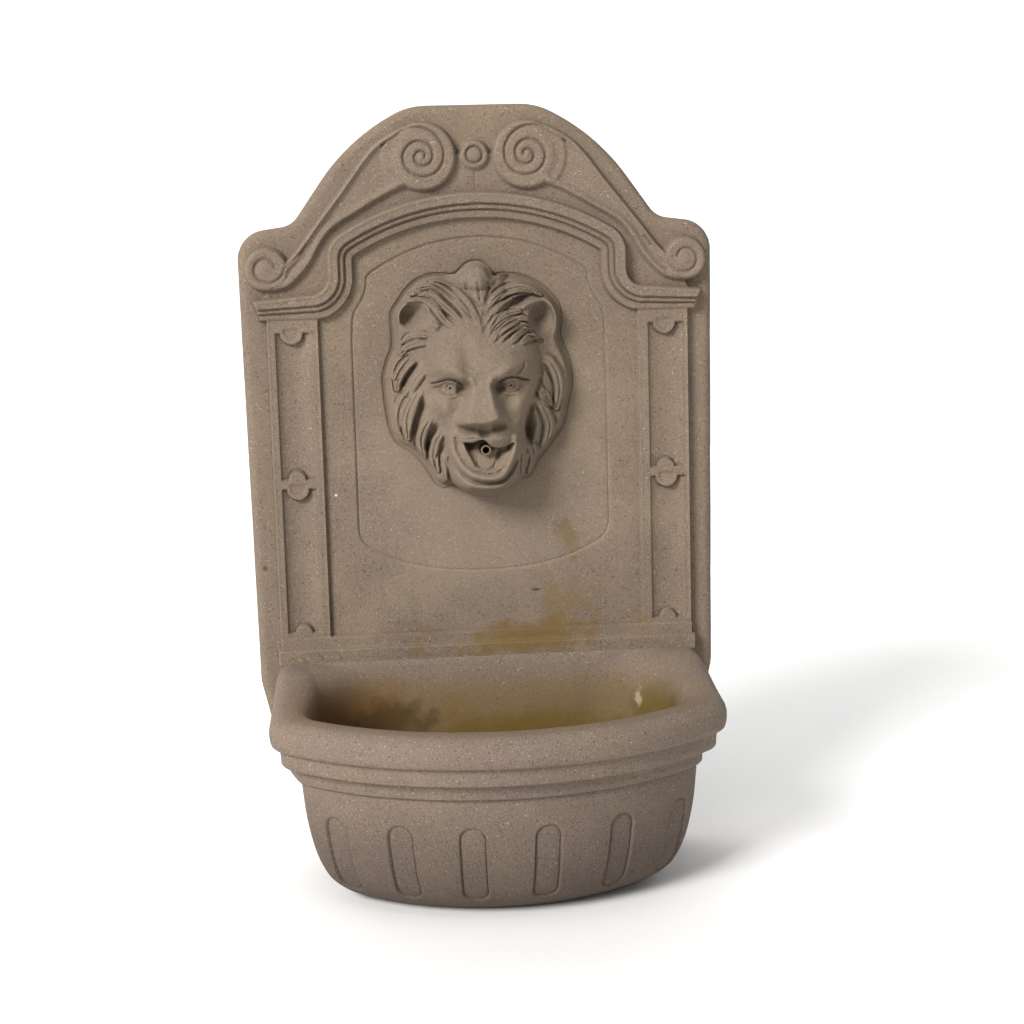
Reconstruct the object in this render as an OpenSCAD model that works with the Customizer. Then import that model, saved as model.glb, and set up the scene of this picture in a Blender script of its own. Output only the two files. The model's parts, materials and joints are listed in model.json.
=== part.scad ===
// Lion mask wall font: a cast stone back panel with a half-round water basin,
// a lion mask spout and a small recirculating pump hidden in the bowl.
// X runs to the right, Y runs into the wall and Z runs up, in millimetres.
// The wall plane is y = 0 and the font stands on z = 0, so its front faces -Y.

/* [Back panel] */
// Height of the panel from its foot to its crown
panel_h = 754; // [745:1:765]
// Half of the panel's width below its shoulders
panel_half_w = 235; // [232:0.5:236]
// How far the plain flange stands off the wall
flange_f = 30; // [28:1:31]
// How far the sunk niche field stands off the wall
niche_f = 34; // [33:0.5:35]
// How far the pilasters stand off the wall
relief_f = 39; // [38:0.5:40]
// Depth of the cavity in the back of the panel
cavity_f = 22; // [21:0.5:23]

/* [Entablature] */
// Height of the centre that all arch mouldings share
arch_z = 411; // [409:1:413]
// Radius of the arch moulding's upper edge
arch_r = 258; // [256:1:260]
// Distance of the moulding's four edges from its upper edge
arch_edges = [0, 10.6, 16, 24.6];
// How far the three bands between those edges stand off the wall
arch_bands = [49, 46, 43];
// Radius of a big volute
big_volute_r = 31; // [29:0.5:33]
// Radius of a small volute
small_volute_r = 20.5; // [19:0.5:22]

/* [Basin] */
// Width of the basin across its rim
basin_w = 434; // [430:1:438]
// How far the basin's rim reaches from the wall
basin_reach = 290; // [286:1:294]
// Height of the front rim
rim_z = 187; // [185:1:189]
// Width of the rim, from its outer to its inner edge
rim_w = 42; // [40:1:44]
// Thickness of the basin's floor
floor_t = 16; // [15:1:18]

/* [Spout and pump] */
// Height of the spout in the lion's mouth
spout_z = 420; // [418:1:422]
// Height of the pump's outlet and of the wall fitting behind it
outlet_z = 64; // [63:0.5:65]
// Outer radius of the supply hose
hose_r = 6; // [5.5:0.5:6]
// Inner radius of the supply hose, which fits its barbs
barb_r = 4; // [3.8:0.1:4]
// Radius of the pump's ceramic shaft
shaft_r = 1.25; // [1.2:0.05:1.3]

/* [Hidden] */
$fn = 48;

stone = [0.58, 0.51, 0.44];
grey_stone = [0.50, 0.44, 0.38];
black_plastic = [0.10, 0.10, 0.11];
clear_gap = 0.05;

gasket_f = 34;
basin_back_f = 36;
basin_wall_f = 58;
flute_turns = [-38.5, -23, -7.5, 8.3, 25, 42];
flute_r = 12;
cover_t = 3;
cover_sink = 1;
hose_f = 11.5;
plinth_z = 209;
cornice_z = 549;
pilaster_in = 158;
pilaster_out = 209;
niche_r = 188;
niche_z = 438;
pump_x = -8;
pump_y = -140;
pump_z = 50;
pump_half = 25;
drain_x = 105;
drain_y = -120;
cord_x = 62;
cord_z = 104;
bolt_places = [[-150, 176], [150, 176], [-96, 84], [96, 84]];
screw_places = [[-186, 150], [186, 150], [-203, 370], [203, 370], [-203, 575], [203, 575],
    [-82, 676], [82, 676], [-128, 48], [128, 48]];
hanger_x = 45;
hanger_z = 722;

// ---- outlines ----

// Points of an arc round a centre, from one angle to another.
function arc(c, r, a0, a1, n = 8) =
    [for (i = [0 : n]) let (a = a0 + (a1 - a0) * i / n) c + r * [cos(a), sin(a)]];

// Points of a path that starts at p with heading h. Each step is [length] for a
// straight run or [radius, turn] for a bend, where a positive turn goes left.
function trail(p, h, steps, i = 0) =
    i == len(steps) ? [p] :
    len(steps[i]) == 1 ?
        concat([p], trail(p + steps[i][0] * [cos(h), sin(h)], h, steps, i + 1)) :
    let (r = steps[i][0], t = steps[i][1], s = sign(t))
    let (c = p + s * r * [-sin(h), cos(h)])
    let (n = max(2, ceil(abs(t) / 9)))
    let (bend = [for (k = [0 : n]) let (a = h - s * 90 + t * k / n) c + r * [cos(a), sin(a)]])
    concat([for (k = [0 : n - 1]) bend[k]], trail(bend[n], h + t, steps, i + 1));

function flipped(pts) = [for (i = [len(pts) - 1 : -1 : 0]) [-pts[i][0], pts[i][1]]];
function reversed(pts) = [for (i = [len(pts) - 1 : -1 : 0]) pts[i]];

// Right half of the panel's outline, from the middle of the crown to the foot.
function panel_half() = concat(
    trail([0, panel_h], 0, [[45.4], [70, -27], [207, -27.5], [39.6], [24, 47], [18], [30, -83],
        [panel_h - 336], [40, -12], [74], [70, -34], [60]]),
    [[150, 0]]);

// Right half of one edge of the arch moulding, which lies d below its upper edge.
function arch_edge(d) = concat(
    trail([0, arch_z + arch_r - d], 0, [[arch_r - d, -31.2], [28 - d, -58.8], [17], [17 + d, 82]]),
    [[222 - d * 0.35, 569 - d * 0.8]]);

// Basin outline at an inset from the rim's outer edge, cut off at the plane y = back.
function basin_outline(inset, back) =
    let (big = basin_reach - 5 - inset, half = basin_w / 2 - inset, bend = 46 - inset * 0.25)
    let (cx = half - bend, cy = -5 - sqrt(pow(big - bend, 2) - cx * cx))
    let (side = atan2(cy + 5, cx))
    concat([[half, back]], arc([cx, cy], bend, 0, side, 5),
        arc([0, -5], big, side, -180 - side, 14), arc([-cx, cy], bend, -180 - side, -180, 5),
        [[-half, back]]);

// Outline of the cavity in the panel's back, grown by g all round.
function cavity_outline(g) =
    let (half = [[140 + g * 0.8, 34 - g], [172 + g, 74 - g * 0.5], [200 + g, 130], [212 + g, 200],
        [212 + g, 588 + g * 0.5], [190 + g * 0.6, 616 + g * 0.8], [158 + g * 0.8, 640 + g * 0.6],
        [116 + g * 0.7, 694 + g]])
    concat(half, flipped(half));

// Outline of the flat that the basin bears on, shrunk by g all round.
function foot_outline(g) =
    let (half = [[150 - g * 1.5, g], [200 - g, 100], [211 - g, 150], [211 - g, plinth_z - g]])
    concat(half, flipped(half));

// ---- helpers ----

// A flat outline in X and Z that fills the space between two distances off the wall.
module off_wall(from, to) {
    translate([0, -from, 0]) rotate([90, 0, 0]) linear_extrude(to - from) children();
}

// A round bar along Y between two distances off the wall.
module bar(x, z, r, from, to) {
    translate([x, -from, z]) rotate([90, 0, 0]) cylinder(h = to - from, r = r);
}

module both_sides() {
    children();
    mirror([1, 0, 0]) children();
}

// A flat slice of the basin at height z, 1 mm thick.
module basin_slice(inset, back, z) {
    translate([0, 0, z]) linear_extrude(1) polygon(basin_outline(inset, back));
}

module at_bolts() {
    for (p = bolt_places) translate([p[0], 0, p[1]]) children();
}

module at_screws() {
    for (p = screw_places) translate([p[0], 0, p[1]]) children();
}

// ---- stone castings ----

module s_scroll() {
    outer = trail([47, 735], 0, [[74, -52], [120]]);
    inner = trail([170, 590], 128, [[36], [20, 22], [86]]);
    off_wall(flange_f, 45) polygon(concat(outer, [[190, 596], [196, 579]], inner));
}

module volute(x, z, r) {
    difference() {
        bar(x, z, r, flange_f, 47);
        difference() {
            bar(x, z, r * 0.8, 44, 48);
            bar(x, z, r * 0.6, 43, 49);
        }
    }
    bar(x, z, r * 0.28, 40, 49);
}

module pilaster() {
    difference() {
        off_wall(flange_f, relief_f)
            polygon([[pilaster_in, plinth_z], [pilaster_out, plinth_z],
                [pilaster_out, cornice_z + 6], [pilaster_in, cornice_z + 6]]);
        for (span = [[236, 382], [392, 537]])
            difference() {
                off_wall(relief_f - 4, relief_f + 1)
                    polygon([[165.6, span[0]], [203, span[0]], [203, span[1]], [165.6, span[1]]]);
                bar(184.3, span[1], 12, relief_f - 5, relief_f + 2);
                bar(184.3, span[0], 8.5, relief_f - 5, relief_f + 2);
            }
    }
}

module entablature() {
    for (i = [0 : 2])
        both_sides()
            off_wall(flange_f, arch_bands[i])
                polygon(concat(arch_edge(arch_edges[i]), reversed(arch_edge(arch_edges[i + 1]))));
    both_sides() s_scroll();
    both_sides() volute(51, 704, big_volute_r);
    both_sides() volute(206.5, 599, small_volute_r);
    volute(0, 705, 14);
}

// The field between the scrolls and the arch, and the plinth steps over the basin.
module fields() {
    spandrel = concat([[0, 706]], trail([47, 730], 0, [[70, -52], [108]]), [[196, 590], [196, 566]]);
    both_sides() off_wall(flange_f, 37) polygon(concat(spandrel, reversed(arch_edge(5))));
    off_wall(flange_f, 46) square_span(211, plinth_z, 220);
    off_wall(flange_f, 42) square_span(209, 220, 231);
    off_wall(flange_f, niche_f) square_span(pilaster_in + 1, 230, cornice_z);
    both_sides() off_wall(flange_f, niche_f) polygon(concat([[0, 540], [0, 640]],
        arch_edge(24), [[160, 540]]));
}

module square_span(half, z0, z1) {
    polygon([[-half, z0], [half, z0], [half, z1], [-half, z1]]);
}

// Incised line that frames the mask inside the niche.
module niche_line() {
    line = trail([0, niche_z + niche_r], 0, [[niche_r, -35], [10, -55], [28], [26, 52], [14],
        [14, -52], [190], [24, -68], [330, -22]]);
    edge = [for (p = line) [p[0] - 1.6 * sign(p[0]), p[1] - 1.6 * sign(p[1] - 440)]];
    both_sides() off_wall(niche_f - 1.2, niche_f + 1) polygon(concat(line, reversed(edge)));
}

module back_panel() color(stone) difference() {
    union() {
        difference() {
            off_wall(0, flange_f) polygon(concat(panel_half(), flipped(panel_half())));
            off_wall(-1, cavity_f) polygon(cavity_outline(0));
        }
        off_wall(flange_f - 1, gasket_f) polygon(foot_outline(0));
        both_sides() pilaster();
        fields();
        entablature();
        at_screws() bar(0, 0, 7, cover_t + cover_sink, cavity_f + 1);
    }
    niche_line();
    off_wall(-1, cover_t + cover_sink) polygon(cavity_outline(5));
    at_screws() bar(0, 0, 1.6, 0, 18);
    at_bolts() bar(0, 0, 4.5, 15, 40);
    bar(0, spout_z, 5.05, 15, 60);
    bar(0, outlet_z, 6.05, 15, 60);
    bar(cord_x, cord_z, 6, 15, 60);
    for (s = [-1, 1]) {
        off_wall(-1, 2) translate([s * hanger_x, hanger_z]) square([28, 40], center = true);
        bar(s * hanger_x, hanger_z - 6, 8, 0, 12);
        off_wall(0, 12) translate([s * hanger_x - 5, hanger_z - 6]) square([10, 15]);
        for (e = [-15, 15]) bar(s * hanger_x + s * 9, hanger_z + e, 1.25, 0, 12);
    }
    translate([cord_x, -13, -1]) cylinder(h = 60, r = 6);
    translate([cord_x - 13, -26, -1]) cube([26, 30, 13]);
}

// The mask is bonded to the niche and clamped by the spout that passes through it.
module lion_mask() color(stone) difference() {
    union() {
        off_wall(niche_f, 56) polygon(mask_outline());
        hull() {
            for (s = [-1, 1]) {
                translate([s * 44, -60, 540]) sphere(r = 24, $fn = 28);
                translate([s * 52, -56, 466]) sphere(r = 24, $fn = 28);
            }
            translate([0, -62, 560]) sphere(r = 24, $fn = 28);
            translate([0, -62, 420]) sphere(r = 26, $fn = 28);
        }
        hull() {
            translate([0, -84, 520]) sphere(r = 26, $fn = 28);
            for (s = [-1, 1]) translate([s * 27, -84, 476]) sphere(r = 19, $fn = 28);
            translate([0, -112, 450]) sphere(r = 12, $fn = 28);
        }
        hull() for (s = [-1, 1]) translate([s * 15, -104, 440]) sphere(r = 15, $fn = 28);
        hull() {
            translate([0, -92, 392]) sphere(r = 14, $fn = 28);
            for (s = [-1, 1]) translate([s * 16, -72, 400]) sphere(r = 14, $fn = 28);
        }
        for (s = [-1, 1]) translate([s * 63, -58, 546]) sphere(r = 17);
    }
    translate([-16, -140, 403]) cube([32, 66, 24]);
    off_wall(-10, niche_f) square_span(120, 350, 620);
    for (s = [-1, 1]) translate([s * 63, -82, 544]) sphere(r = 13);
    bar(0, spout_z, 5.05, 20, 90);
}

// The mask's silhouette: a rounded crown, full cheeks of mane and a pointed beard.
function mask_outline() =
    let (right = concat([[0, 600]], trail([12, 590], 0, [[30], [46, -64], [12]]),
        [[80, 552], [82, 520]], trail([90, 490], -90, [[70, -28], [16]]),
        [[64, 404], [44, 388], [28, 384], [16, 368]]))
    concat(right, flipped(right));

module basin() color(grey_stone) difference() {
    union() {
        hull() {
            basin_slice(88, -basin_back_f, 0);
            basin_slice(75, -basin_back_f, 5);
            basin_slice(61, -basin_back_f, 14);
            basin_slice(49, -basin_back_f, 27);
            basin_slice(39, -basin_back_f, 50);
            basin_slice(32, -basin_back_f, 82);
            basin_slice(28.5, -basin_back_f, 118);
        }
        translate([0, 0, 116]) linear_extrude(21) polygon(basin_outline(22.5, -basin_back_f));
        translate([0, 0, 136]) linear_extrude(22) polygon(basin_outline(10, -basin_back_f));
        hull() {
            basin_slice(5, -basin_back_f, 157);
            basin_slice(0, -basin_back_f, 165);
            basin_slice(0, -basin_back_f, 174);
            basin_slice(5, -basin_back_f, rim_z - 5);
            basin_slice(15, -basin_back_f, rim_z - 1);
        }
        both_sides() basin_arm();
        translate([-basin_w / 2 + 6, -basin_wall_f, 160]) cube([basin_w - 12, 22, plinth_z - 162]);
    }
    hull() {
        basin_slice(80, -basin_wall_f - 20, floor_t);
        basin_slice(66, -basin_wall_f - 8, floor_t + 6);
        basin_slice(56, -basin_wall_f, 40);
        basin_slice(47, -basin_wall_f, 90);
        basin_slice(rim_w, -basin_wall_f, 165);
        basin_slice(rim_w, -basin_wall_f, plinth_z + 2);
    }
    for (a = flute_turns) flute(a);
    at_bolts() bar(0, 0, 6, 30, 53);
    bar(0, outlet_z, 6.05, 30, 70);
    bar(cord_x, cord_z, 6, 30, 70);
    translate([drain_x, drain_y, -1]) cylinder(h = 40, r = 14);
}

// The rim's side arm, which sweeps up to meet the plinth.
module basin_arm() {
    sweep = trail([-60, plinth_z - 2], 180, [[60, 20], [40], [90, -20]]);
    profile = concat([[-basin_back_f, 155], [-basin_back_f, plinth_z - 2]], sweep, [[-190, 155]]);
    translate([basin_w / 2 - rim_w, 0, 0]) rotate([90, 0, 90])
        linear_extrude(rim_w - 4) polygon(profile);
}

// A shallow sunk panel with round ends on the bowl's front, a degrees from its middle, cut as an
// upper and a lower flat that lean with the bowl's side.
module flute(a) {
    translate([0, -5, 0]) rotate([0, 0, a]) {
        flute_flat(basin_reach - 41.8, 70, 12, -27, 13, 13);
        flute_flat(basin_reach - 54.2, 33, 32, -7, 16, -7);
    }
}

module flute_flat(reach, z, lean, from, to, round_end) {
    translate([0, -reach, z]) rotate([90 + lean, 0, 0]) {
        translate([0, round_end, 0]) cylinder(h = 12, r = flute_r);
        translate([-flute_r, from, 0]) cube([flute_r * 2, to - from, 12]);
    }
}

// ---- fixings of the basin and the back ----

module basin_gasket() color([0.12, 0.12, 0.12]) difference() {
    off_wall(gasket_f, basin_back_f) polygon(foot_outline(20));
    at_bolts() bar(0, 0, 4.5, 30, 40);
    bar(0, outlet_z, 6.05, 30, 40);
    bar(cord_x, cord_z, 6, 30, 40);
}

module basin_inserts() color("goldenrod") at_bolts() difference() {
    bar(0, 0, 6, basin_back_f + 1, 53);
    bar(0, 0, 4, basin_back_f, 54);
}

module basin_bolts() color("silver") at_bolts() {
    bar(0, 0, 4, cavity_f - 3, 50);
    translate([0, 1.5 - cavity_f, 0]) rotate([-90, 0, 0]) cylinder(h = 5.3, r = 7.5, $fn = 6);
}

module basin_washers() color("silver") at_bolts() difference() {
    bar(0, 0, 9, cavity_f - 1.5, cavity_f);
    bar(0, 0, 4.3, cavity_f - 2, cavity_f + 1);
}

module rear_cover() color(black_plastic) difference() {
    off_wall(cover_sink, cover_sink + cover_t) polygon(cavity_outline(4.6));
    at_screws() bar(0, 0, 2.2, 0, 6);
}

module cover_screws() color("silver") at_screws() {
    bar(0, 0, 1.6, cover_sink, 16);
    bar(0, 0, 3.5, 0, cover_sink);
}

module hanger_plates() color("silver") for (s = [-1, 1]) difference() {
    off_wall(0, 2) translate([s * hanger_x, hanger_z]) square([27.6, 39.6], center = true);
    bar(s * hanger_x, hanger_z - 6, 4.5, -1, 3);
    off_wall(-1, 3) translate([s * hanger_x - 2.25, hanger_z - 6]) square([4.5, 14]);
    for (e = [-15, 15]) {
        bar(s * hanger_x + s * 9, hanger_z + e, 1.6, -1, 3);
        bar(s * hanger_x + s * 9, hanger_z + e, 2.6, -1, 1);
    }
}

module hanger_screws() color("silver") for (s = [-1, 1], e = [-15, 15]) {
    bar(s * hanger_x + s * 9, hanger_z + e, 1.25, 0, 11);
    bar(s * hanger_x + s * 9, hanger_z + e, 2.5, 0, 1);
}

module cord_grommet() color(black_plastic) difference() {
    union() {
        bar(cord_x, cord_z, 6, cavity_f, basin_wall_f);
        bar(cord_x, cord_z, 8.5, cavity_f - 2, cavity_f);
        bar(cord_x, cord_z, 8.5, basin_wall_f, basin_wall_f + 2);
    }
    bar(cord_x, cord_z, 3.75, 0, 80);
}

module cord_exit_grommet() color(black_plastic) translate([cord_x, -13, 0]) difference() {
    union() {
        translate([0, 0, 12]) cylinder(h = 22, r = 6);
        translate([0, 0, 10]) cylinder(h = 2, r = 8.5);
        translate([0, 0, 34]) cylinder(h = 2, r = 8);
    }
    cylinder(h = 50, r = 3.75);
}

// ---- spout and supply ----

module spout_nozzle() color("darkgoldenrod") difference() {
    bar(0, spout_z, 5, 13, 88);
    bar(0, spout_z, 3.4, 10, 90);
}

module spout_locknut() color("goldenrod") difference() {
    translate([0, 2.5 - cavity_f, spout_z]) rotate([-90, 0, 0]) cylinder(h = 3, r = 9.5, $fn = 6);
    bar(0, spout_z, 5, 10, 30);
}

module spout_washer() color(black_plastic) difference() {
    bar(0, spout_z, 9, cavity_f - 2.5, cavity_f);
    bar(0, spout_z, 5, 10, 30);
}

// A moulded elbow in the back cavity: a round body along Y and a hose barb along Z.
module elbow_body(z, up) {
    bar(0, z, 7.6, 5, 16);
    translate([0, -hose_f, z]) mirror([0, 0, up ? 0 : 1]) cylinder(h = 26, r = barb_r);
}

module elbow_channel(z, up) {
    translate([0, -hose_f, z]) mirror([0, 0, up ? 0 : 1]) cylinder(h = 30, r = 2.5);
}

module spout_elbow() color(black_plastic) difference() {
    elbow_body(spout_z, false);
    elbow_channel(spout_z, false);
    bar(0, spout_z, 5, 13, 30);
    bar(0, spout_z, 3.4, 8, 20);
}

module bulkhead_elbow() color(black_plastic) difference() {
    union() {
        elbow_body(outlet_z, true);
        bar(0, outlet_z, 9.5, 16, cavity_f);
        bar(0, outlet_z, 6, cavity_f - 1, 68);
        bar(0, outlet_z, barb_r, 67, 80);
    }
    elbow_channel(outlet_z, true);
    bar(0, outlet_z, 2.8, 8.4, 90);
}

module bulkhead_washer() color([0.15, 0.15, 0.15]) difference() {
    bar(0, outlet_z, 11, basin_wall_f, basin_wall_f + 2);
    bar(0, outlet_z, 6, 50, 70);
}

module bulkhead_nut() color(black_plastic) difference() {
    translate([0, -basin_wall_f - 2, outlet_z]) rotate([90, 0, 0]) cylinder(h = 6, r = 12, $fn = 6);
    bar(0, outlet_z, 6, 50, 70);
}

module supply_hose() color([0.75, 0.77, 0.74]) translate([0, -hose_f, outlet_z + 10]) difference() {
    cylinder(h = spout_z - outlet_z - 20, r = hose_r);
    translate([0, 0, -1]) cylinder(h = spout_z - outlet_z - 18, r = barb_r);
}

module pump_hose() color([0.75, 0.77, 0.74]) difference() {
    bar(0, outlet_z, hose_r, 69, 111);
    bar(0, outlet_z, barb_r, 60, 120);
}

module ring(h) {
    difference() {
        cylinder(h = h, r = hose_r + 1.2);
        translate([0, 0, -1]) cylinder(h = h + 2, r = hose_r);
    }
}

module hose_clamps() color("silver") {
    for (z = [outlet_z + 14, spout_z - 20]) translate([0, -hose_f, z]) ring(6);
    for (f = [78, 108]) translate([0, -f, outlet_z]) rotate([-90, 0, 0]) ring(6);
}

// ---- pump ----

module along_x(x, r, h) {
    translate([pump_x + x, pump_y, pump_z]) rotate([0, 90, 0]) cylinder(h = h, r = r);
}

module pump_box(x0, x1, inset) {
    translate([pump_x + x0, pump_y - pump_half + inset, pump_z - pump_half - 1 + inset])
        cube([x1 - x0, 2 * (pump_half - inset), 2 * (pump_half + 1 - inset)]);
}

module pump_body() color(black_plastic) difference() {
    pump_box(-38, 14, 0);
    along_x(2, 18, 20);
    along_x(-32, 9, 50);
    along_x(-36, 4, 10);
    bar(0, outlet_z, 3.2, 100, -pump_y);
    bar(0, outlet_z, 5, 105, 125);
}

module pump_outlet_barb() color(black_plastic) difference() {
    union() {
        bar(0, outlet_z, barb_r, 96, 116);
        bar(0, outlet_z, 5, 112, 125);
    }
    bar(0, outlet_z, 2.7, 90, 130);
}

module pump_impeller() color("white") difference() {
    union() {
        along_x(-30, 8.5, 32);
        along_x(2.5, 14, 2);
        for (a = [0 : 60 : 300])
            translate([pump_x + 4, pump_y, pump_z]) rotate([a, 0, 0])
                translate([0, 2, -0.8]) cube([7, 11, 1.6]);
        along_x(2, 4, 9);
    }
    along_x(-40, shaft_r + clear_gap, 60);
}

module impeller_shaft() color("ivory") along_x(-35, shaft_r, 51);

module shaft_bushes() color([0.2, 0.2, 0.2]) difference() {
    union() {
        along_x(-36, 4, 4.5);
        along_x(13, 4, 4);
    }
    along_x(-35, shaft_r, 51);
}

module pump_volute_cover() color(black_plastic) difference() {
    union() {
        difference() {
            along_x(14, 22, 3);
            along_x(12, 12, 8);
        }
        along_x(14, 6.5, 3);
        for (a = [0, 120, 240])
            translate([pump_x + 14, pump_y, pump_z]) rotate([a, 0, 0])
                translate([0, 5, -1.5]) cube([3, 9, 3]);
    }
    along_x(10, 4, 10);
}

module pump_intake_cover() color(black_plastic) difference() {
    pump_box(14, 34, 0);
    pump_box(13, 32, 2);
    along_x(30, 3 + clear_gap, 10);
    for (y = [-18 : 6 : 18], s = [-1, 1])
        translate([pump_x + 30, pump_y + y - 1.25, pump_z + s * 15 - 6]) cube([10, 2.5, 12]);
}

// The dial turns on its stem in the intake cover and has a finger rib.
module flow_dial() color("dimgray") {
    along_x(28, 3, 7);
    along_x(34.2, 8.5, 3);
    translate([pump_x + 37, pump_y - 1.2, pump_z - 7]) cube([3, 2.4, 14]);
    along_x(28, 4, 2);
}

module suction_feet() color([0.85, 0.85, 0.82])
    for (x = [-30, 6], y = [-16, 16])
        translate([pump_x + x, pump_y + y, floor_t]) {
            cylinder(h = 2, r = 7);
            cylinder(h = pump_z - pump_half - 1 - floor_t, r = 3.5);
        }

// ---- drain ----

module drain_bush() color([0.8, 0.8, 0.78]) translate([drain_x, drain_y, 0]) difference() {
    union() {
        cylinder(h = floor_t, r = 14);
        translate([0, 0, floor_t]) cylinder(h = 2, r = 19);
    }
    translate([0, 0, -1]) cylinder(h = 40, r = 10);
}

module drain_plug() color([0.1, 0.1, 0.1]) translate([drain_x, drain_y, floor_t + 2]) {
    translate([0, 0, -14]) cylinder(h = 15, r = 10 - clear_gap);
    cylinder(h = 4, r = 14);
    translate([0, 0, 4]) difference() {
        translate([-8, -2, 0]) cube([16, 4, 14]);
        translate([0, -3, 7]) rotate([-90, 0, 0]) cylinder(h = 6, r = 4.5);
    }
}

back_panel();
lion_mask();
basin();
basin_gasket();
basin_inserts();
basin_bolts();
basin_washers();
rear_cover();
cover_screws();
hanger_plates();
hanger_screws();
spout_nozzle();
spout_washer();
spout_locknut();
spout_elbow();
supply_hose();
hose_clamps();
bulkhead_elbow();
bulkhead_washer();
bulkhead_nut();
pump_hose();
pump_body();
pump_outlet_barb();
pump_impeller();
impeller_shaft();
shaft_bushes();
pump_volute_cover();
pump_intake_cover();
flow_dial();
suction_feet();
drain_bush();
drain_plug();
cord_grommet();
cord_exit_grommet();
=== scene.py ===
"""Lion mask wall font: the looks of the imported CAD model, in metres, +Z up, front towards -Y.

The stone castings are rebuilt as fine meshes: the panel and the mask as carved relief, worked out
in millimetres over X and Z as a distance f off the wall, and the basin as a loft of half-round loops.
"""
import json
import math

import bmesh
import bpy
import numpy as np
from mathutils import Matrix, Vector


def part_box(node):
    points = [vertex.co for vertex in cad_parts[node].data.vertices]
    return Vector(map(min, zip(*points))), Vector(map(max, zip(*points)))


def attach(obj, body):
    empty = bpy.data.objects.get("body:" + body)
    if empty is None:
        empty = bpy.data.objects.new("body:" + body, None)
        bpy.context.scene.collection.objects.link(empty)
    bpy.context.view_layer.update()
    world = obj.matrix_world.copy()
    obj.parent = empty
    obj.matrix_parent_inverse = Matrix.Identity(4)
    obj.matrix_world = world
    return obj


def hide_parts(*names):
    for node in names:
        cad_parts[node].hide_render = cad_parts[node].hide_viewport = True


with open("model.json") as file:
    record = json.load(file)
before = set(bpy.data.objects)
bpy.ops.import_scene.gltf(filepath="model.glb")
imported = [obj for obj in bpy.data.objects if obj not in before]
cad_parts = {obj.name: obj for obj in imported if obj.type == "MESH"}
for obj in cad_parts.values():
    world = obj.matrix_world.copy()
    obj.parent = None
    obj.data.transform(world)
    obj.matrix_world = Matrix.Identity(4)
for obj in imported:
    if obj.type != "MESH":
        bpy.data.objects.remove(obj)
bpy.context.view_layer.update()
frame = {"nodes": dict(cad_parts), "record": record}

MM = 0.001


def box_mm(node):
    """A CAD node's box in millimetres."""
    lo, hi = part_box(node)
    return np.array(lo) / MM, np.array(hi) / MM


_, panel_hi = box_mm("back_panel")
basin_lo, basin_hi = box_mm("basin")
spout_lo, spout_hi = box_mm("spout_nozzle")

PANEL_H = panel_hi[2]
PANEL_HALF = panel_hi[0]
BASIN_HALF = basin_hi[0]
BASIN_REACH = -basin_lo[1]
LEDGE_Z = basin_hi[2]
RIM_Z = LEDGE_Z - 20
SPOUT_Z = (spout_lo[2] + spout_hi[2]) / 2

# ---- plane geometry, in millimetres


def trail(start, heading, steps, pitch=1.5):
    """Points of a path of straight runs (length,) and bends (radius, turn), a positive turn left."""
    points = [np.array(start, float)]
    for step in steps:
        here, h = points[-1], math.radians(heading)
        if len(step) == 1:
            points.append(here + step[0] * np.array([math.cos(h), math.sin(h)]))
            continue
        radius, turn = step
        side = math.copysign(1, turn)
        centre = here + side * radius * np.array([-math.sin(h), math.cos(h)])
        count = max(3, int(abs(math.radians(turn)) * radius / pitch))
        for k in range(1, count + 1):
            a = h - side * math.pi / 2 + math.radians(turn) * k / count
            points.append(centre + radius * np.array([math.cos(a), math.sin(a)]))
        heading += turn
    return np.array(points)


def spline(points, per_span=10):
    """A smooth curve through given points."""
    p = np.array(points, float)
    p = np.vstack([2 * p[0] - p[1], p, 2 * p[-1] - p[-2]])
    t = np.linspace(0, 1, per_span, endpoint=False)[:, None]
    spans = []
    for a, b, c, d in zip(p[:-3], p[1:-2], p[2:-1], p[3:]):
        spans.append(0.5 * (2 * b + (c - a) * t + (2 * a - 5 * b + 4 * c - d) * t**2
                            + (3 * b - a - 3 * c + d) * t**3))
    return np.vstack(spans + [p[-2:-1]])


def arc(cx, cy, radius, angles):
    """Points about a middle; the radius may change along them."""
    return np.column_stack([cx + radius * np.cos(angles), cy + radius * np.sin(angles)])


def ring_of(points, shut=False):
    """A smooth closed outline through given points, ending on its first point if shut."""
    line = spline(points + points[:1], 5)
    return line if shut else line[:-1]


def mirrored(points):
    """The same path on the other side of the middle plane, walked backwards."""
    return np.array(points)[::-1] * [-1, 1]


def closed(half):
    """A closed outline from its right half."""
    return np.vstack([half, mirrored(half)])


def to_line(x, z, line):
    """Distance of every point from a path."""
    best = np.full(x.shape, 1e9, np.float32)
    for a, b in zip(line[:-1], line[1:]):
        run = b - a
        size = float(run @ run)
        if size < 1e-12:
            continue
        t = np.clip(((x - a[0]) * run[0] + (z - a[1]) * run[1]) / size, 0, 1)
        np.minimum(best, (x - a[0] - t * run[0]) ** 2 + (z - a[1] - t * run[1]) ** 2, out=best)
    return np.sqrt(best)


def to_outline(x, z, outline):
    """Signed distance from a closed outline, negative inside."""
    ring = np.vstack([outline, outline[:1]])
    inside = np.zeros(x.shape, bool)
    for a, b in zip(ring[:-1], ring[1:]):
        if a[1] == b[1]:
            continue
        crosses = (a[1] > z) != (b[1] > z)
        inside ^= crosses & (x < (b[0] - a[0]) * (z - a[1]) / (b[1] - a[1]) + a[0])
    far = to_line(x, z, ring)
    return np.where(inside, -far, far)


def to_disc(x, z, centre, radius):
    """Signed distance, negative inside."""
    return np.hypot(x - centre[0], z - centre[1]) - radius


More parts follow.
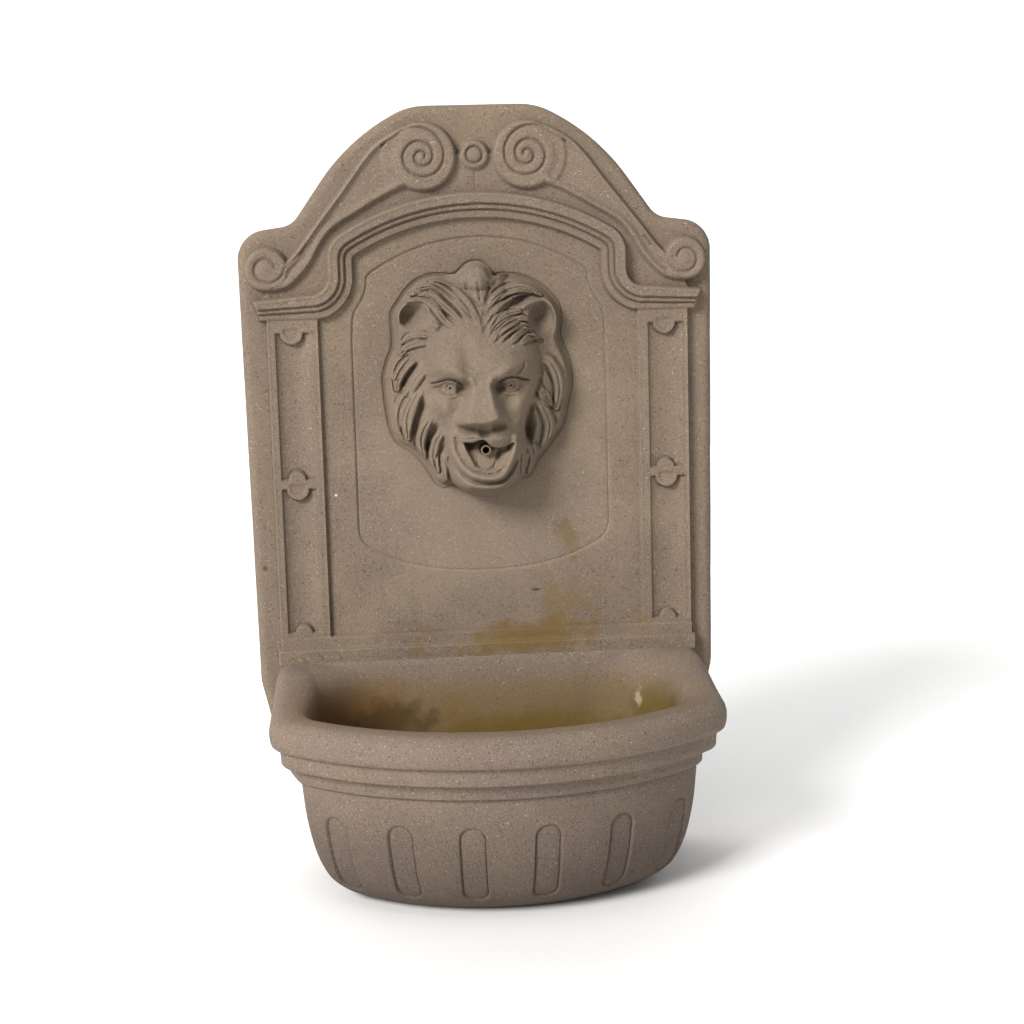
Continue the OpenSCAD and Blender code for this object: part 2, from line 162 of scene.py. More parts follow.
def to_rect(x, z, x0, x1, z0, z1):
    """Signed distance, negative inside."""
    dx = np.maximum(x0 - x, x - x1)
    dz = np.maximum(z0 - z, z - z1)
    outside = np.hypot(np.maximum(dx, 0), np.maximum(dz, 0))
    return outside + np.minimum(np.maximum(dx, dz), 0)


def ease(t):
    """0 to 1 with a soft start and end."""
    t = np.clip(t, 0, 1)
    return t * t * (3 - 2 * t)


def within(s, soft):
    """1 inside an outline and 0 outside it, easing over twice the softness."""
    return ease(0.5 - s / (2 * soft))


def bump(t):
    """A rounded hump of height 1 over -1 to 1."""
    return np.maximum(0, 1 - t * t) ** 2


def dome(t):
    """Half of a round bar over -1 to 1."""
    return np.sqrt(np.maximum(0, 1 - t * t))


def level(f, s, top, soft):
    """Raises or sinks the inside of an outline to a level."""
    w = within(s, soft)
    return f * (1 - w) + top * w


def lattice(ix, iz, seed):
    """A repeatable value between 0 and 1 for each whole-numbered point."""
    n = (ix * 374761393 + iz * 668265263 + seed * 982451653) & 0xFFFFFFFF
    n = ((n ^ (n >> 13)) * 1274126177) & 0xFFFFFFFF
    return ((n ^ (n >> 16)) & 0xFFFF) / 65535.0


def unevenness(x, z, size, seed=1):
    """Smooth hand-finished waviness between -1 and 1."""
    u, v = x / size, z / size
    iu, iv = np.floor(u).astype(np.int64), np.floor(v).astype(np.int64)
    fu, fv = ease(u - iu), ease(v - iv)
    low = lattice(iu, iv, seed) * (1 - fu) + lattice(iu + 1, iv, seed) * fu
    top = lattice(iu, iv + 1, seed) * (1 - fu) + lattice(iu + 1, iv + 1, seed) * fu
    return (low * (1 - fv) + top * fv) * 2 - 1


# ---- meshes


def make_object(name, verts, faces):
    """A mesh object from points in millimetres."""
    mesh = bpy.data.meshes.new(name)
    mesh.from_pydata([tuple(v) for v in np.asarray(verts) * MM], [], faces)
    mesh.update()
    obj = bpy.data.objects.new(name, mesh)
    bpy.context.collection.objects.link(obj)
    return obj


def grid_faces(rows, columns, wrap=False):
    """Quads between neighbouring rows of points, joined round at the ends if wrap is set."""
    faces = []
    last = columns if wrap else columns - 1
    for r in range(rows - 1):
        for c in range(last):
            d = (c + 1) % columns
            low, top = r * columns, (r + 1) * columns
            faces.append((low + c, low + d, top + d, top + c))
    return faces


def slab(name, x, z, f, back_f):
    """A closed slab whose front stands f off the wall and whose back is flat."""
    rows, columns = x.shape
    front = np.stack([x, -f, z], -1).reshape(-1, 3)
    count = len(front)
    ring = (list(range(columns))
            + [r * columns + columns - 1 for r in range(1, rows)]
            + [(rows - 1) * columns + c for c in range(columns - 2, -1, -1)]
            + [r * columns for r in range(rows - 2, 0, -1)])
    back = front[ring].copy()
    back[:, 1] = -back_f
    faces = grid_faces(rows, columns)
    n = len(ring)
    for i in range(n):
        j = (i + 1) % n
        faces.append((ring[j], ring[i], count + i, count + j))
    faces.append(tuple(count + i for i in range(n - 1, -1, -1)))
    return make_object(name, np.vstack([front, back]), faces)


def prism(outline, from_f, to_f):
    """An outline in X and Z filled between two distances off the wall."""
    o = np.array(outline)
    n = len(o)
    near, far = (np.column_stack([o[:, 0], np.full(n, -f), o[:, 1]]) for f in (to_f, from_f))
    faces = [tuple(range(n)), tuple(range(2 * n - 1, n - 1, -1))]
    faces += [(i, n + i, n + (i + 1) % n, (i + 1) % n) for i in range(n)]
    return facing_out(make_object("tool", np.vstack([near, far]), faces))


def facing_out(obj):
    """Turns every face of a closed mesh to face outwards."""
    bm = bmesh.new()
    bm.from_mesh(obj.data)
    bmesh.ops.recalc_face_normals(bm, faces=bm.faces)
    bm.to_mesh(obj.data)
    bm.free()
    return obj


def cut(obj, tools, how="DIFFERENCE"):
    """Applies booleans with closed tool objects, then deletes the tools."""
    for tool in tools:
        m = obj.modifiers.new("cut", "BOOLEAN")
        m.operation, m.object, m.solver = how, tool, "MANIFOLD"
    done = bpy.data.meshes.new_from_object(obj.evaluated_get(bpy.context.evaluated_depsgraph_get()))
    obj.modifiers.clear()
    old, obj.data = obj.data, done
    done.name = obj.name
    bpy.data.meshes.remove(old)
    for tool in tools:
        bpy.data.objects.remove(tool)


def smooth(obj, angle):
    """Smooth shading that keeps edges sharper than an angle in degrees."""
    obj.data.shade_smooth()
    obj.data.set_sharp_from_angle(angle=math.radians(angle))
    return obj


# ---- the panel's outlines

FLANGE_F, FLANGE_ROUND = 30, 9
NICHE_F, SPANDREL_F, RELIEF_F, SCROLL_F = 34, 36.5, 39, 41.8
ARCH_Z, ARCH_R = 411, 258
ARCH_EDGES, ARCH_BANDS = (0, 10.6, 16, 24.6), (48.5, 45, 41.5)
BIG_VOLUTE, SMALL_VOLUTE, CROWN_RING = (51, 704), (206.5, 599), (0, 705)
PILASTER = (158, 209)
CORNICE_Z, PLINTH_Z = 549.5, LEDGE_Z + 0.2


def panel_outline():
    """The panel's edge all round."""
    half = trail((0, PANEL_H), 0, [(45.4,), (70, -27), (207, -27.5), (39.6,), (24, 47), (18,), (30, -83),
                                   (PANEL_H - 336,), (40, -12), (74,), (70, -34), (60,)])
    return closed(np.vstack([half, [[150, 0]]]))


def arch_region(d, end_z):
    """Everything below one edge of the arch moulding, d below its upper edge, down to end_z."""
    half = trail((0, ARCH_Z + ARCH_R - d), 0,
                 [(ARCH_R - d, -31.2), (28 - d, -58.8), (17,), (17 + d, 82)])
    tip = [222 - d * 0.35, 569 - d * 0.8]
    return closed(np.vstack([half, [tip], [[tip[0] - max(0, (tip[1] - end_z) * 0.85 - 7), end_z]]]))


def scroll_edges():
    """Outer and inner edges of the right scroll, from the big volute down to the small one."""
    outer = spline([(51, 737), (70, 732), (88, 723), (105, 709), (133, 673), (160, 639), (180, 613),
                    (193, 601)])
    inner = spline([(68, 676), (84, 670), (101, 661), (117, 651.5), (132, 643), (145, 633), (155, 619),
                    (163, 605), (174, 592), (186, 582), (200, 578)])
    return outer, inner


def coil(middle, degrees, radii, count):
    """A spiral about a point, from its radii at a few of its angles."""
    angles = np.radians(degrees)
    turn = np.linspace(angles[0], angles[-1], count)
    return arc(*middle, np.interp(turn, angles, radii), turn)


def groove_lines(outer):
    """The groove inside the scroll's outer fillet: the big volute's coil, the run, the small coil."""
    run = np.gradient(outer, axis=0)
    normal = np.column_stack([run[:, 1], -run[:, 0]]) / np.hypot(run[:, 0], run[:, 1])[:, None]
    body = (outer + normal * 5.0)[21:-12]
    big = coil(BIG_VOLUTE, [40, 65, 90, 135, 180, 270, 360, 450, 540, 630, 720, 810, 900],
               [32, 30, 27.5, 23.5, 21.3, 19.3, 18.6, 14.5, 10.5, 9, 7.2, 5, 2.5], 160)
    small = coil(SMALL_VOLUTE, [180, 225, 270, 360, 450, 520], [17.5, 14.5, 12.5, 11.5, 10.5, 8.5], 60)
    return np.vstack([big[::-1], body[:3]]), body, np.vstack([body[-4:], small])


def niche_outline():
    """The line that frames the mask inside the niche."""
    top = trail((0, 626), 0, [(188, -34)])
    side = spline([(109.5, 590), (111, 578), (116, 566), (122.5, 556), (125, 545), (126, 526)])
    foot = trail((126.5, 340), -90, [(26, -64)])
    base = spline([foot[-1], (84, 304), (44, 295), (0, 292)])
    return closed(np.vstack([top, side, foot, base]))


def panel_height(x, z):
    """How far the panel's front stands off the wall."""
    ax = np.abs(x)
    f = np.full(x.shape, float(FLANGE_F))

    # spandrels between the scrolls and the arch
    outer, inner = scroll_edges()
    field = np.vstack([[[-1, 706], [51, 706]], outer[20:], [[200, 590], [214, 566], [-1, 566]]])
    f = level(f, to_outline(ax, z, field), SPANDREL_F, 2.0)

    # scrolls and volutes, with a rounded fillet all round them
    ribbon = to_outline(ax, z, np.vstack([[[51, 706]], outer, [[206, 599]], inner[::-1]]))
    big = to_disc(ax, z, BIG_VOLUTE, 33)
    small = to_disc(ax, z, SMALL_VOLUTE, 21)
    scroll = np.minimum(ribbon, np.minimum(big, small))
    f = level(f, scroll, SCROLL_F, 1.6)
    in_discs = within(np.minimum(big, small) + 3, 4)
    f += 2.4 * bump((scroll + 4.2) / 4.2) * (1 - 0.7 * in_discs) * (scroll < 0)
    f += 2.2 * within(big + 5, 5) * (big < 0) + 1.4 * within(small + 4, 4) * (small < 0)
    big_coil, run, small_coil = groove_lines(outer)
    channel = to_outline(ax, z, np.vstack([run, (inner + [2.2, 2.6])[:2:-1]]))
    channel = np.maximum(channel, np.maximum(-(big - 6), -(small + 1)))
    f -= 2.1 * within(channel, 2.2)
    f -= 1.3 * bump(to_line(ax, z, run) / 2.2) * (scroll < 1)
    f -= 2.7 * bump(to_line(ax, z, big_coil) / 2.5) * (scroll < 1)
    f -= 2.1 * bump(to_line(ax, z, small_coil) / 2.4) * (scroll < 1)
    f += 1.6 * bump(to_disc(ax, z, BIG_VOLUTE, 0) / 5) + 1.0 * bump(to_disc(ax, z, SMALL_VOLUTE, 0) / 8)

    # the ring between the volutes
    ring = to_disc(x, z, CROWN_RING, 14)
    f = level(f, ring, 41, 2.4)
    f -= 2.6 * bump((ring + 6.2) / 2.0)
    f += 1.6 * bump((ring + 14) / 7)

    # arch moulding: three bands, each below and behind the one before
    regions = [to_outline(x, z, arch_region(d, CORNICE_Z)) for d in ARCH_EDGES]
    f = level(f, regions[0], ARCH_BANDS[0], 1.3)
    f += 0.8 * bump((regions[0] + 2.6) / 2.6)
    for region, band in zip(regions[1:3], ARCH_BANDS[1:]):
        f = level(f, region, band, 0.35)
        f -= 1.3 * bump((region + 1.0) / 1.3)
    f -= 0.7 * bump((regions[2] + 8.2) / 5) * (regions[3] > 0)

    # the niche field under the arch, and all that stands below the cornice
    under = np.minimum(regions[3], to_rect(x, z, -212.5, 212.5, 200, CORNICE_Z))
    under = np.minimum(under, to_rect(x, z, -118, 118, 200, CORNICE_Z + 9))
    f = level(f, under, NICHE_F, 0.5)
    shaft = to_rect(ax, z, PILASTER[0], PILASTER[1], PLINTH_Z, CORNICE_Z + 4)
    below = z < CORNICE_Z + 0.6
    f = np.where((ax > PILASTER[0]) & below, np.minimum(f, FLANGE_F), f)
    f = np.where(below, level(f, shaft, RELIEF_F, 0.8), f)
    f += 0.5 * bump((shaft + 1.6) / 1.6) * below
    f = sunk_panels(f, x, z)

    # the framing line in the niche: a groove and a slightly sunk panel
    frame_line = to_outline(x, z, niche_outline())
    f -= 1.2 * within(frame_line, 0.8) + 1.1 * bump(frame_line / 1.6)

    # the mask's edge is cut in crisply
    f -= 1.5 * bump(to_line(x, z, ring_of(MANE_EDGE, True)) / 1.5)

    # plinth steps over the basin, and the flat that the basin bears on
    foot = np.array([[150, 0], [200, 100], [211, 150], [211.5, PLINTH_Z]])
    f = level(f, to_outline(x, z, closed(foot[::-1])), NICHE_F, 0.5)
    f = level(f, to_rect(x, z, -209, 209, PLINTH_Z - 3, 231), 42, 0.9)
    f = level(f, to_rect(x, z, -211.5, 211.5, PLINTH_Z - 3, 220), 47, 0.9)

    # worn, rounded rim of the flange
    depth = np.clip(-to_outline(x, z, panel_outline()), 0, FLANGE_ROUND)
    f -= FLANGE_ROUND * (1 - dome(1 - depth / FLANGE_ROUND))
    f += 0.22 * unevenness(x, z, 23) + 0.12 * unevenness(x, z, 7, 5)
    return f


def sunk_panels(f, x, z):
    """Two scooped panels in each pilaster, with a crescent at the top and a round lug at the foot."""
    ax = np.abs(x)
    middle = 185
    inner, outer = np.where(x < 0, 167, 168.5), np.where(x < 0, 201, 205)
    for low, high in ((236, 382), (391.5, 536.5)):
        rect = to_rect(ax, z, inner, outer, low, high)
        crescent = to_disc(ax, z, (middle, high), 11.2)
        lug = to_disc(ax, z, (middle, low), 8.4)
        sunk = np.maximum(rect, np.maximum(-crescent, -lug))
        across = 2 * (ax - inner) / (outer - inner) - 1
        f = level(f, sunk, RELIEF_F - 1.8 - 5.2 * np.maximum(1 - across ** 2, 0) ** 0.8, 0.6)
        f -= 0.5 * bump((sunk + 1.0) / 1.3)
        heart = np.maximum(to_disc(ax, z, (middle, high + 1.5), 7.8), z - high - 4)
        f -= 1.5 * within(heart, 1.0)
    return f


CAVITY = [(140, 34), (172, 74), (200, 130), (212, 200), (212, 588), (190, 616), (158, 640), (116, 694)]
CAVITY_F, COVER_F, COVER_LAP = 22, 4, 5
HANGER_X, POCKET_F, KEYHOLE_F = 45, 2, 12
NOTCH, NOTCH_F = [(49, -2), (75, -2), (75, 12), (49, 12)], 26
BEYOND_F = 140  # past the front of any relief


def grown(half, g):
    """The cavity's outline moved outwards by g."""
    centre = np.array([0, 370])
    out = []
    for p in np.array(half, float):
        away = p - centre
        out.append(p + g * np.sign(away) * np.where(np.abs(away) > [150, 280], 1.0, 0.6))
    return closed(np.array(out))


def upright(x, half_width, z0, z1):
    """The corners of an upright rectangle about a middle x."""
    return [(x - half_width, z0), (x + half_width, z0), (x + half_width, z1), (x - half_width, z1)]


def back_panel():
    """The carved panel, with its back cut out for the cavity, cover, hangers and cord."""
    step = 1.05
    xs = np.arange(-PANEL_HALF - 1, PANEL_HALF + 1 + step, step)
    zs = np.arange(-1, PANEL_H + 1 + step, step)
    x, z = np.meshgrid(xs, zs)
    f = panel_height(x.astype(np.float32), z.astype(np.float32))
    panel = slab("stone_back_panel", x, z, f, -2)
    cut(panel, [prism(panel_outline(), 0, BEYOND_F)], "INTERSECT")
    hangers = (-HANGER_X, HANGER_X)
    pockets = [prism(upright(x, 14, 702, 742), -1, POCKET_F) for x in hangers]
    slots = [prism(upright(x, 8, 706, 731), -1, KEYHOLE_F) for x in hangers]
    cut(panel, [prism(closed(CAVITY), -1, CAVITY_F),
                prism(grown(CAVITY, COVER_LAP), -1, COVER_F),
                prism(NOTCH, -1, NOTCH_F)] + pockets + slots)
    return smooth(panel, 42)


# ---- the basin

FRONT_CENTRE_Y = -5
LOOP_PARTS = dict(back=26, heel=10, side=22, corner=20, front=230)


def basin_loop(inset, back_f, heel):
    """Half of a half-round loop, from the middle of its back to the middle of its front."""
    half, big = BASIN_HALF - inset, BASIN_REACH + FRONT_CENTRE_Y - inset
    bend = 46 - inset * 0.25
    cx = half - bend
    cy = FRONT_CENTRE_Y - math.sqrt((big - bend) ** 2 - cx * cx)
    side = math.atan2(cy - FRONT_CENTRE_Y, cx)
    n = LOOP_PARTS
    parts = [np.column_stack([np.linspace(0, half - heel, n["back"], endpoint=False),
                              np.full(n["back"], -back_f)])]
    a = np.linspace(math.pi / 2, 0, n["heel"], endpoint=False)
    parts.append(arc(half - heel, -back_f - heel, heel, a))
    parts.append(np.column_stack([np.full(n["side"], half),
                                  np.linspace(-back_f - heel, cy, n["side"], endpoint=False)]))
    parts.append(arc(cx, cy, bend, np.linspace(0, side, n["corner"], endpoint=False)))
    parts.append(arc(0, FRONT_CENTRE_Y, big, np.linspace(side, -math.pi / 2, n["front"])))
    return np.vstack(parts)


def evenly(line, pitch):
    """The same path with its points a fixed distance apart, and how far along each one lies."""
    along = np.concatenate([[0], np.cumsum(np.hypot(*np.diff(line, axis=0).T))])
    t = np.linspace(0, along[-1], int(along[-1] / pitch))
    return np.column_stack([np.interp(t, along, line[:, 0]), np.interp(t, along, line[:, 1])]), t


BOWL = [(88, 0), (83.5, 0.8), (75, 5), (61, 14), (49, 27), (39, 50), (32, 82), (28.7, 113), (28.5, 121.2)]
BANDS = [(28.2, 123.2), (24, 123.8), (23, 125), (22.6, 131), (22, 137.2), (21, 138.4),
         (11.2, 139.8), (10.2, 141), (9.9, 147.5), (9.2, 154), (8.4, 156.8)]


def basin_rows(bowl):
    """Rows of the loft: inset from the rim, height, back, heel radius and share of the arms' rise."""
    rows = [(inset, z, 36, 0.5, 0) for inset, z in list(bowl) + BANDS]
    rows += [(3.6, 157.6, 36, 0.5, 0.0), (1.9, 159.2, 36, 0.5, 0.0), (0.7, 163, 36, 0.5, 0.05),
             (0.1, 168, 36, 0.5, 0.2), (0.1, 173, 36, 0.5, 0.4), (1.4, 178, 36, 0.5, 0.65),
             (4.2, 182, 36, 0.5, 0.85), (8.5, 185, 36, 0.5, 0.96), (14, 186.6, 36, 0.5, 1),
             (20, 187, 36.5, 1, 1), (26, 186.6, 48, 12, 1), (31, 185.2, 49.5, 30, 0.96),
             (34.5, 183, 51, 48, 0.88), (37.5, 179.6, 53, 60, 0.76), (39.6, 175, 55.5, 66, 0.6),
             (40.8, 169, 58.5, 70, 0.42)]
    rows += [(41.4, 161, 61.5, 72, 0.24), (42, 150, 64.5, 73, 0.1), (43, 135, 67, 73, 0.03),
             (44.5, 118, 68, 72, 0), (46, 100, 68, 70, 0), (48, 80, 68, 68, 0), (51, 60, 68, 64, 0),
             (56, 42, 69, 60, 0),
             (61, 30, 71, 56, 0), (67, 22, 75, 52, 0), (75, 17.5, 80, 46, 0), (83, 16, 86, 42, 0)]
    return rows


def arm_rise(y):
    """How much of the arms' rise a point has, from none at the front to all at the wall."""
    return ease((y + 196) / 136)


FLUTE_TURNS, FLUTE_ENDS = (-38.5, -23, -7.5, 8.3, 25, 41), (27, 83)
FLUTE_HALF, FLUTE_DEPTH = 12.2, 2.4


def flute_depth(x, y, along, ends):
    """Depth of the sunk flutes at points a given way up the bowl's outside."""
    turn = np.degrees(np.arctan2(x, -(y - FRONT_CENTRE_Y)))
    out = np.hypot(x, y - FRONT_CENTRE_Y)
    depth = np.zeros(x.shape)
    for angle in FLUTE_TURNS:
        u = np.radians(turn - angle) * out
        s = np.hypot(u, along - np.clip(along, *ends)) - FLUTE_HALF
        sunk = within(s, 0.7) * (1 - 0.25 * dome(u / FLUTE_HALF)) + 0.45 * bump((s + 0.4) / 1.5)
        depth = np.maximum(depth, sunk)
    return depth * FLUTE_DEPTH


def basin():
    """One closed loft from under the foot, over the rim, down to the bowl's floor."""
    bowl, way = evenly(spline(BOWL, 12), 1.5)
    rows = np.array(basin_rows(bowl))
    ends = np.interp(FLUTE_ENDS, bowl[:, 1], way)
    slope = np.gradient(bowl, axis=0)
    slope /= np.linalg.norm(slope, axis=1)[:, None]
    last_rim = len(bowl) + len(BANDS)
    loops = []
    for i, (inset, z, back_f, heel, share) in enumerate(rows):
        half = basin_loop(inset, back_f, heel)
        loop = np.vstack([half, half[-2:0:-1] * [-1, 1]])
        rise = (LEDGE_Z - RIM_Z) * share * arm_rise(loop[:, 1])
        loop[:, 0] -= np.sign(loop[:, 0]) * arm_rise(loop[:, 1]) * (1.0 if inset < 20 and z > 155 else 0)
        scoop = 17 * ease((inset - 20) / 20) * (i > last_rim) * (0.35 + 0.65 * ease((z - 95) / 70))
        loop[:, 0] *= 1 - scoop * ease((loop[:, 1] + 175) / 115) / BASIN_HALF
        height = z + rise
        if i < len(bowl):
            depth = flute_depth(loop[:, 0], loop[:, 1], way[i], ends)
            inward = loop - [0, FRONT_CENTRE_Y]
            inward /= -np.linalg.norm(inward, axis=1)[:, None]
            loop = loop + inward * (depth * slope[i, 1])[:, None]
            height = height - depth * slope[i, 0]
        loops.append(np.column_stack([loop, height]))
    count = len(loops[0])
    verts = np.vstack(loops)
    wobble = 0.2 * unevenness(verts[:, 0] + verts[:, 1], verts[:, 2] * 1.3, 19, 9)
    verts[:, 2] += wobble * (verts[:, 2] > 20)
    faces = grid_faces(len(loops), count, wrap=True)
    faces.append(tuple(range(count - 1, -1, -1)))
    top = (len(loops) - 1) * count
    faces.append(tuple(top + i for i in range(count)))
    return smooth(facing_out(make_object("stone_basin", verts, faces)), 50)


# ---- the lion mask


def follow(x, z, line):
    """Share of a path's length at the nearest point of it, and the signed offset from it."""
    best = np.full(x.shape, 1e9)
    share, offset = np.zeros(x.shape), np.zeros(x.shape)
    runs = np.hypot(*np.diff(line, axis=0).T)
    done, total = 0.0, runs.sum()
    for a, b, size in zip(line[:-1], line[1:], runs):
        if size < 1e-6:
            continue
        run = (b - a) / size
        px, pz = x - a[0], z - a[1]
        t = np.clip(px * run[0] + pz * run[1], 0, size)
        gap = np.hypot(px - t * run[0], pz - t * run[1])
        near = gap < best
        best = np.where(near, gap, best)
        share = np.where(near, (done + t) / total, share)
        offset = np.where(near, gap * np.sign(run[0] * pz - run[1] * px), offset)
        done += size
    return share, offset


def near_path(x, z, line, reach):
    """The part of the grid within reach of a path."""
    rows = (z[:, 0] > line[:, 1].min() - reach) & (z[:, 0] < line[:, 1].max() + reach)
    columns = (x[0] > line[:, 0].min() - reach) & (x[0] < line[:, 0].max() + reach)
    return np.ix_(rows, columns)


def lock(f, x, z, points, width, height, strands=0.34, tip=0.3):
    """Adds a lock of hair: a tapering round ridge parted along its middle, with a furrow beside it."""
    line = spline(points, 7)
    spot = near_path(x, z, line, width * 2.2)
    t, off = follow(x[spot], z[spot], line)
    w = 1.25 * width * (tip + (1 - tip) * np.sin(math.pi * np.clip(0.12 + 0.83 * t, 0, 1)) ** 0.8)
    u = off / w
    fade = ease(t / 0.2) * 0.9 + 0.1
    ridge = 0.9 * dome(u * 0.96) ** 1.2 - 0.34 * bump((np.abs(u) - 1.15) / 0.42) - strands * bump(u / 0.34)
    f[spot] += height * ridge * fade


def furrow(f, x, z, points, width, depth, ends=0.15):
    """Cuts a soft line that fades out at both ends; a negative depth raises a ridge."""
    line = spline(points, 7)
    spot = near_path(x, z, line, width * 1.2)
    t, off = follow(x[spot], z[spot], line)
    f[spot] -= depth * bump(off / width) * ease(t / ends) * ease((1 - t) / ends)


def furrows(f, x, z, table, ends=0.15):
    """Cuts each row's line: its points, half width and depth."""
    for points, width, depth in table:
        furrow(f, x, z, points, width, depth, ends)


def oval(x, z, centre, rx, rz, tilt=0.0):
    """Distance from an oval's centre as a share of its radius."""
    a = math.radians(tilt)
    u, v = x - centre[0], z - centre[1]
    return np.hypot((u * math.cos(a) + v * math.sin(a)) / rx, (v * math.cos(a) - u * math.sin(a)) / rz)


def swell(f, x, z, centre, rx, rz, height, tilt=0.0):
    """Raises a soft oval hump; a negative height sinks a hollow."""
    f += height * bump(oval(x, z, centre, rx, rz, tilt))


def profile(z, points):
    """A smooth value down the face from (height, value) pairs, lowest first."""
    line = spline(sorted(points), 8)
    return np.interp(z, line[:, 0], line[:, 1])


MANE_EDGE = [(-97.5, 490.5), (-95.5, 462.5), (-91.5, 437.5), (-84, 424), (-69, 413.5), (-56, 397),
             (-49, 384.5), (-40.5, 378), (-30.5, 381), (-19.5, 374.5), (-3.5, 370), (9.5, 370.5),
             (20, 380), (28.5, 385), (46.5, 387), (56, 403), (68.5, 418), (82, 437.5), (86.5, 456.5),
             (91.5, 478.5), (89.5, 502.5), (81, 525.5), (82.5, 542.5), (80, 558.5), (71, 570.5),
             (58.5, 580.5), (41, 588), (23, 589.5), (15, 587.5), (10, 596.5), (1.5, 602), (-9.5, 601),
             (-17.5, 594.5), (-24.5, 590), (-42.5, 591), (-58, 587), (-70.5, 577.5), (-80.5, 564),
             (-87, 551.5), (-87, 522), (-92.5, 508)]

SKULL = [(366, 46), (371, 58), (376, 70), (381, 84), (386, 90), (393, 92), (405, 91), (425, 93), (440, 93),
         (455, 92), (470, 92), (485, 95), (500, 98), (515, 95), (530, 89), (545, 81), (560, 70),
         (580, 60), (606, 52)]
SKULL_HALF = [(366, 18), (376, 27), (390, 34), (405, 39), (420, 42), (433, 42), (443, 43), (453, 48),
              (468, 54), (484, 57), (500, 57), (520, 55), (540, 48), (560, 40), (606, 30)]
NOSE = [(444, 0), (447, 18), (451, 26), (459, 22.5), (468, 17.5), (478, 11.5), (488, 6.5), (499, 2.5),
        (512, 0)]
NOSE_HALF = [(440, 25), (449, 26.5), (455, 25), (462, 21), (471, 17.5), (482, 15), (496, 14), (512, 16)]

# hair: points of each lock from root to tip, its half width and its height
LOCKS = [
    ([(-3.5, 543), (-6.5, 551), (-16, 565.5), (-26.5, 575), (-36.5, 581), (-46.5, 583.5)], 4, 5.8),
    ([(-11.5, 545.5), (-16, 553.5), (-26, 565), (-35.5, 574), (-45.5, 578.5), (-57.5, 578)], 4, 6.8),
    ([(-20.5, 543.5), (-26.5, 552), (-36, 561), (-44.5, 569.5), (-54.5, 573), (-66.5, 572)], 3.8, 7.3),
    ([(-26.5, 539), (-35.5, 546), (-42, 555.5), (-48, 563.5), (-57, 567.5), (-69, 565.5)], 3.4, 6.8),
    ([(8, 556.5), (15, 566.5), (27.5, 573), (40.5, 575.5), (51.5, 573), (60.5, 568)], 4.2, 6.5),
    ([(10.5, 551.5), (19, 560), (28.5, 567), (39.5, 569.5), (50.5, 569.5)], 3.2, 5),
    ([(5.5, 541.5), (13, 552.5), (23, 559), (31, 564)], 3.6, 4.5),
    ([(4, 531.5), (11.5, 541.5), (22.5, 549), (38, 552.5)], 3.8, 5.5),
    ([(8, 525.5), (16, 535.5), (26.5, 542), (38.5, 546), (45.5, 544.5)], 3.6, 5.5),
    ([(15, 523.5), (21, 532), (30.5, 537.5), (39.5, 539.5), (48.5, 536)], 3.4, 5),
    ([(25, 523), (34, 530), (43, 533.5), (52, 529)], 3.2, 4.5),
    ([(36, 521.5), (44, 527), (52, 527.5), (60, 523)], 3, 4.5),
    ([(-50, 531.5), (-60, 532), (-69, 530.5), (-77, 524.5)], 3.2, 4.5),
    ([(-52, 524.5), (-63, 524), (-72.5, 520.5), (-78.5, 513.5)], 3.4, 5),
    ([(-68.5, 515), (-78, 508.5), (-84, 500), (-86.5, 490)], 3.6, 4),
    ([(-62.5, 510), (-73, 503.5), (-80.5, 492.5), (-83.5, 479.5)], 4.8, 6.5),
    ([(-56, 498), (-63.5, 491), (-69.5, 482), (-74, 474.5)], 4.4, 4.5),
    ([(-69.5, 479), (-79, 467.5), (-83.5, 452.5), (-83, 440.5)], 4.2, 4),
    ([(-61.5, 479), (-69, 466), (-74.5, 449.5), (-74.5, 430.5)], 5.6, 8),
    ([(-52.5, 450.5), (-59, 439), (-61.5, 426), (-59, 411)], 4.6, 7.5),
    ([(-41, 438), (-47.5, 426.5), (-50, 410.5), (-46.5, 396.5)], 4.4, 6.5),
    ([(-39.5, 418), (-42, 404), (-38.5, 387)], 4.4, 6),
    ([(58.5, 507), (68, 501.5), (75, 488), (76.5, 472), (73.5, 456)], 5.2, 7.5),
    ([(55, 496), (61.5, 487.5), (66.5, 475.5), (67, 464.5)], 3.8, 3.5),
    ([(54.5, 479), (62, 467.5), (69.5, 458.5)], 4.2, 5.5),
    ([(53, 466), (60.5, 455.5), (66, 441.5), (64.5, 428.5), (59.5, 418.5)], 4.8, 8),
    ([(45.5, 425), (49, 410), (45.5, 391)], 4.8, 6.5),
    ([(38.5, 416.5), (39.5, 403.5), (37.5, 389.5)], 3.4, 4.5),
]
# strands that hang from the crown, then deep shadowed partings between the locks
CROWN = [
    ([(-13, 584), (-12, 573), (-6, 563), (1, 555)], 2.4, 2.6),
    ([(-3, 584), (-1, 573), (0, 562)], 2.2, 2),
    ([(9, 584), (8.5, 573), (4, 561)], 2.6, 2.8),
]
PARTINGS = [
    ([(-61, 507), (-67, 500), (-73.5, 491.5), (-81, 478.5)], 3.8, 7),
    ([(-58, 473), (-60.5, 461), (-66, 445), (-71.5, 429)], 4.6, 10),
    ([(-44, 446.5), (-52.5, 432.5), (-57, 414.5)], 4.4, 10),
    ([(-34.5, 429), (-43, 416), (-44.5, 400.5)], 3, 4),
    ([(57.5, 505), (59, 491), (54.5, 477), (50, 463)], 3.6, 4.5),
    ([(50, 467), (45.5, 453), (44, 435), (48.5, 419)], 5, 9),
    ([(4, 528.5), (1.5, 545), (6, 556.5)], 4, 2.2),
    ([(34, 526.5), (44, 531.5), (53, 529.5)], 2, 2.5),
    ([(46, 520.5), (55, 524.5), (64, 522)], 2.4, 3.5),
]


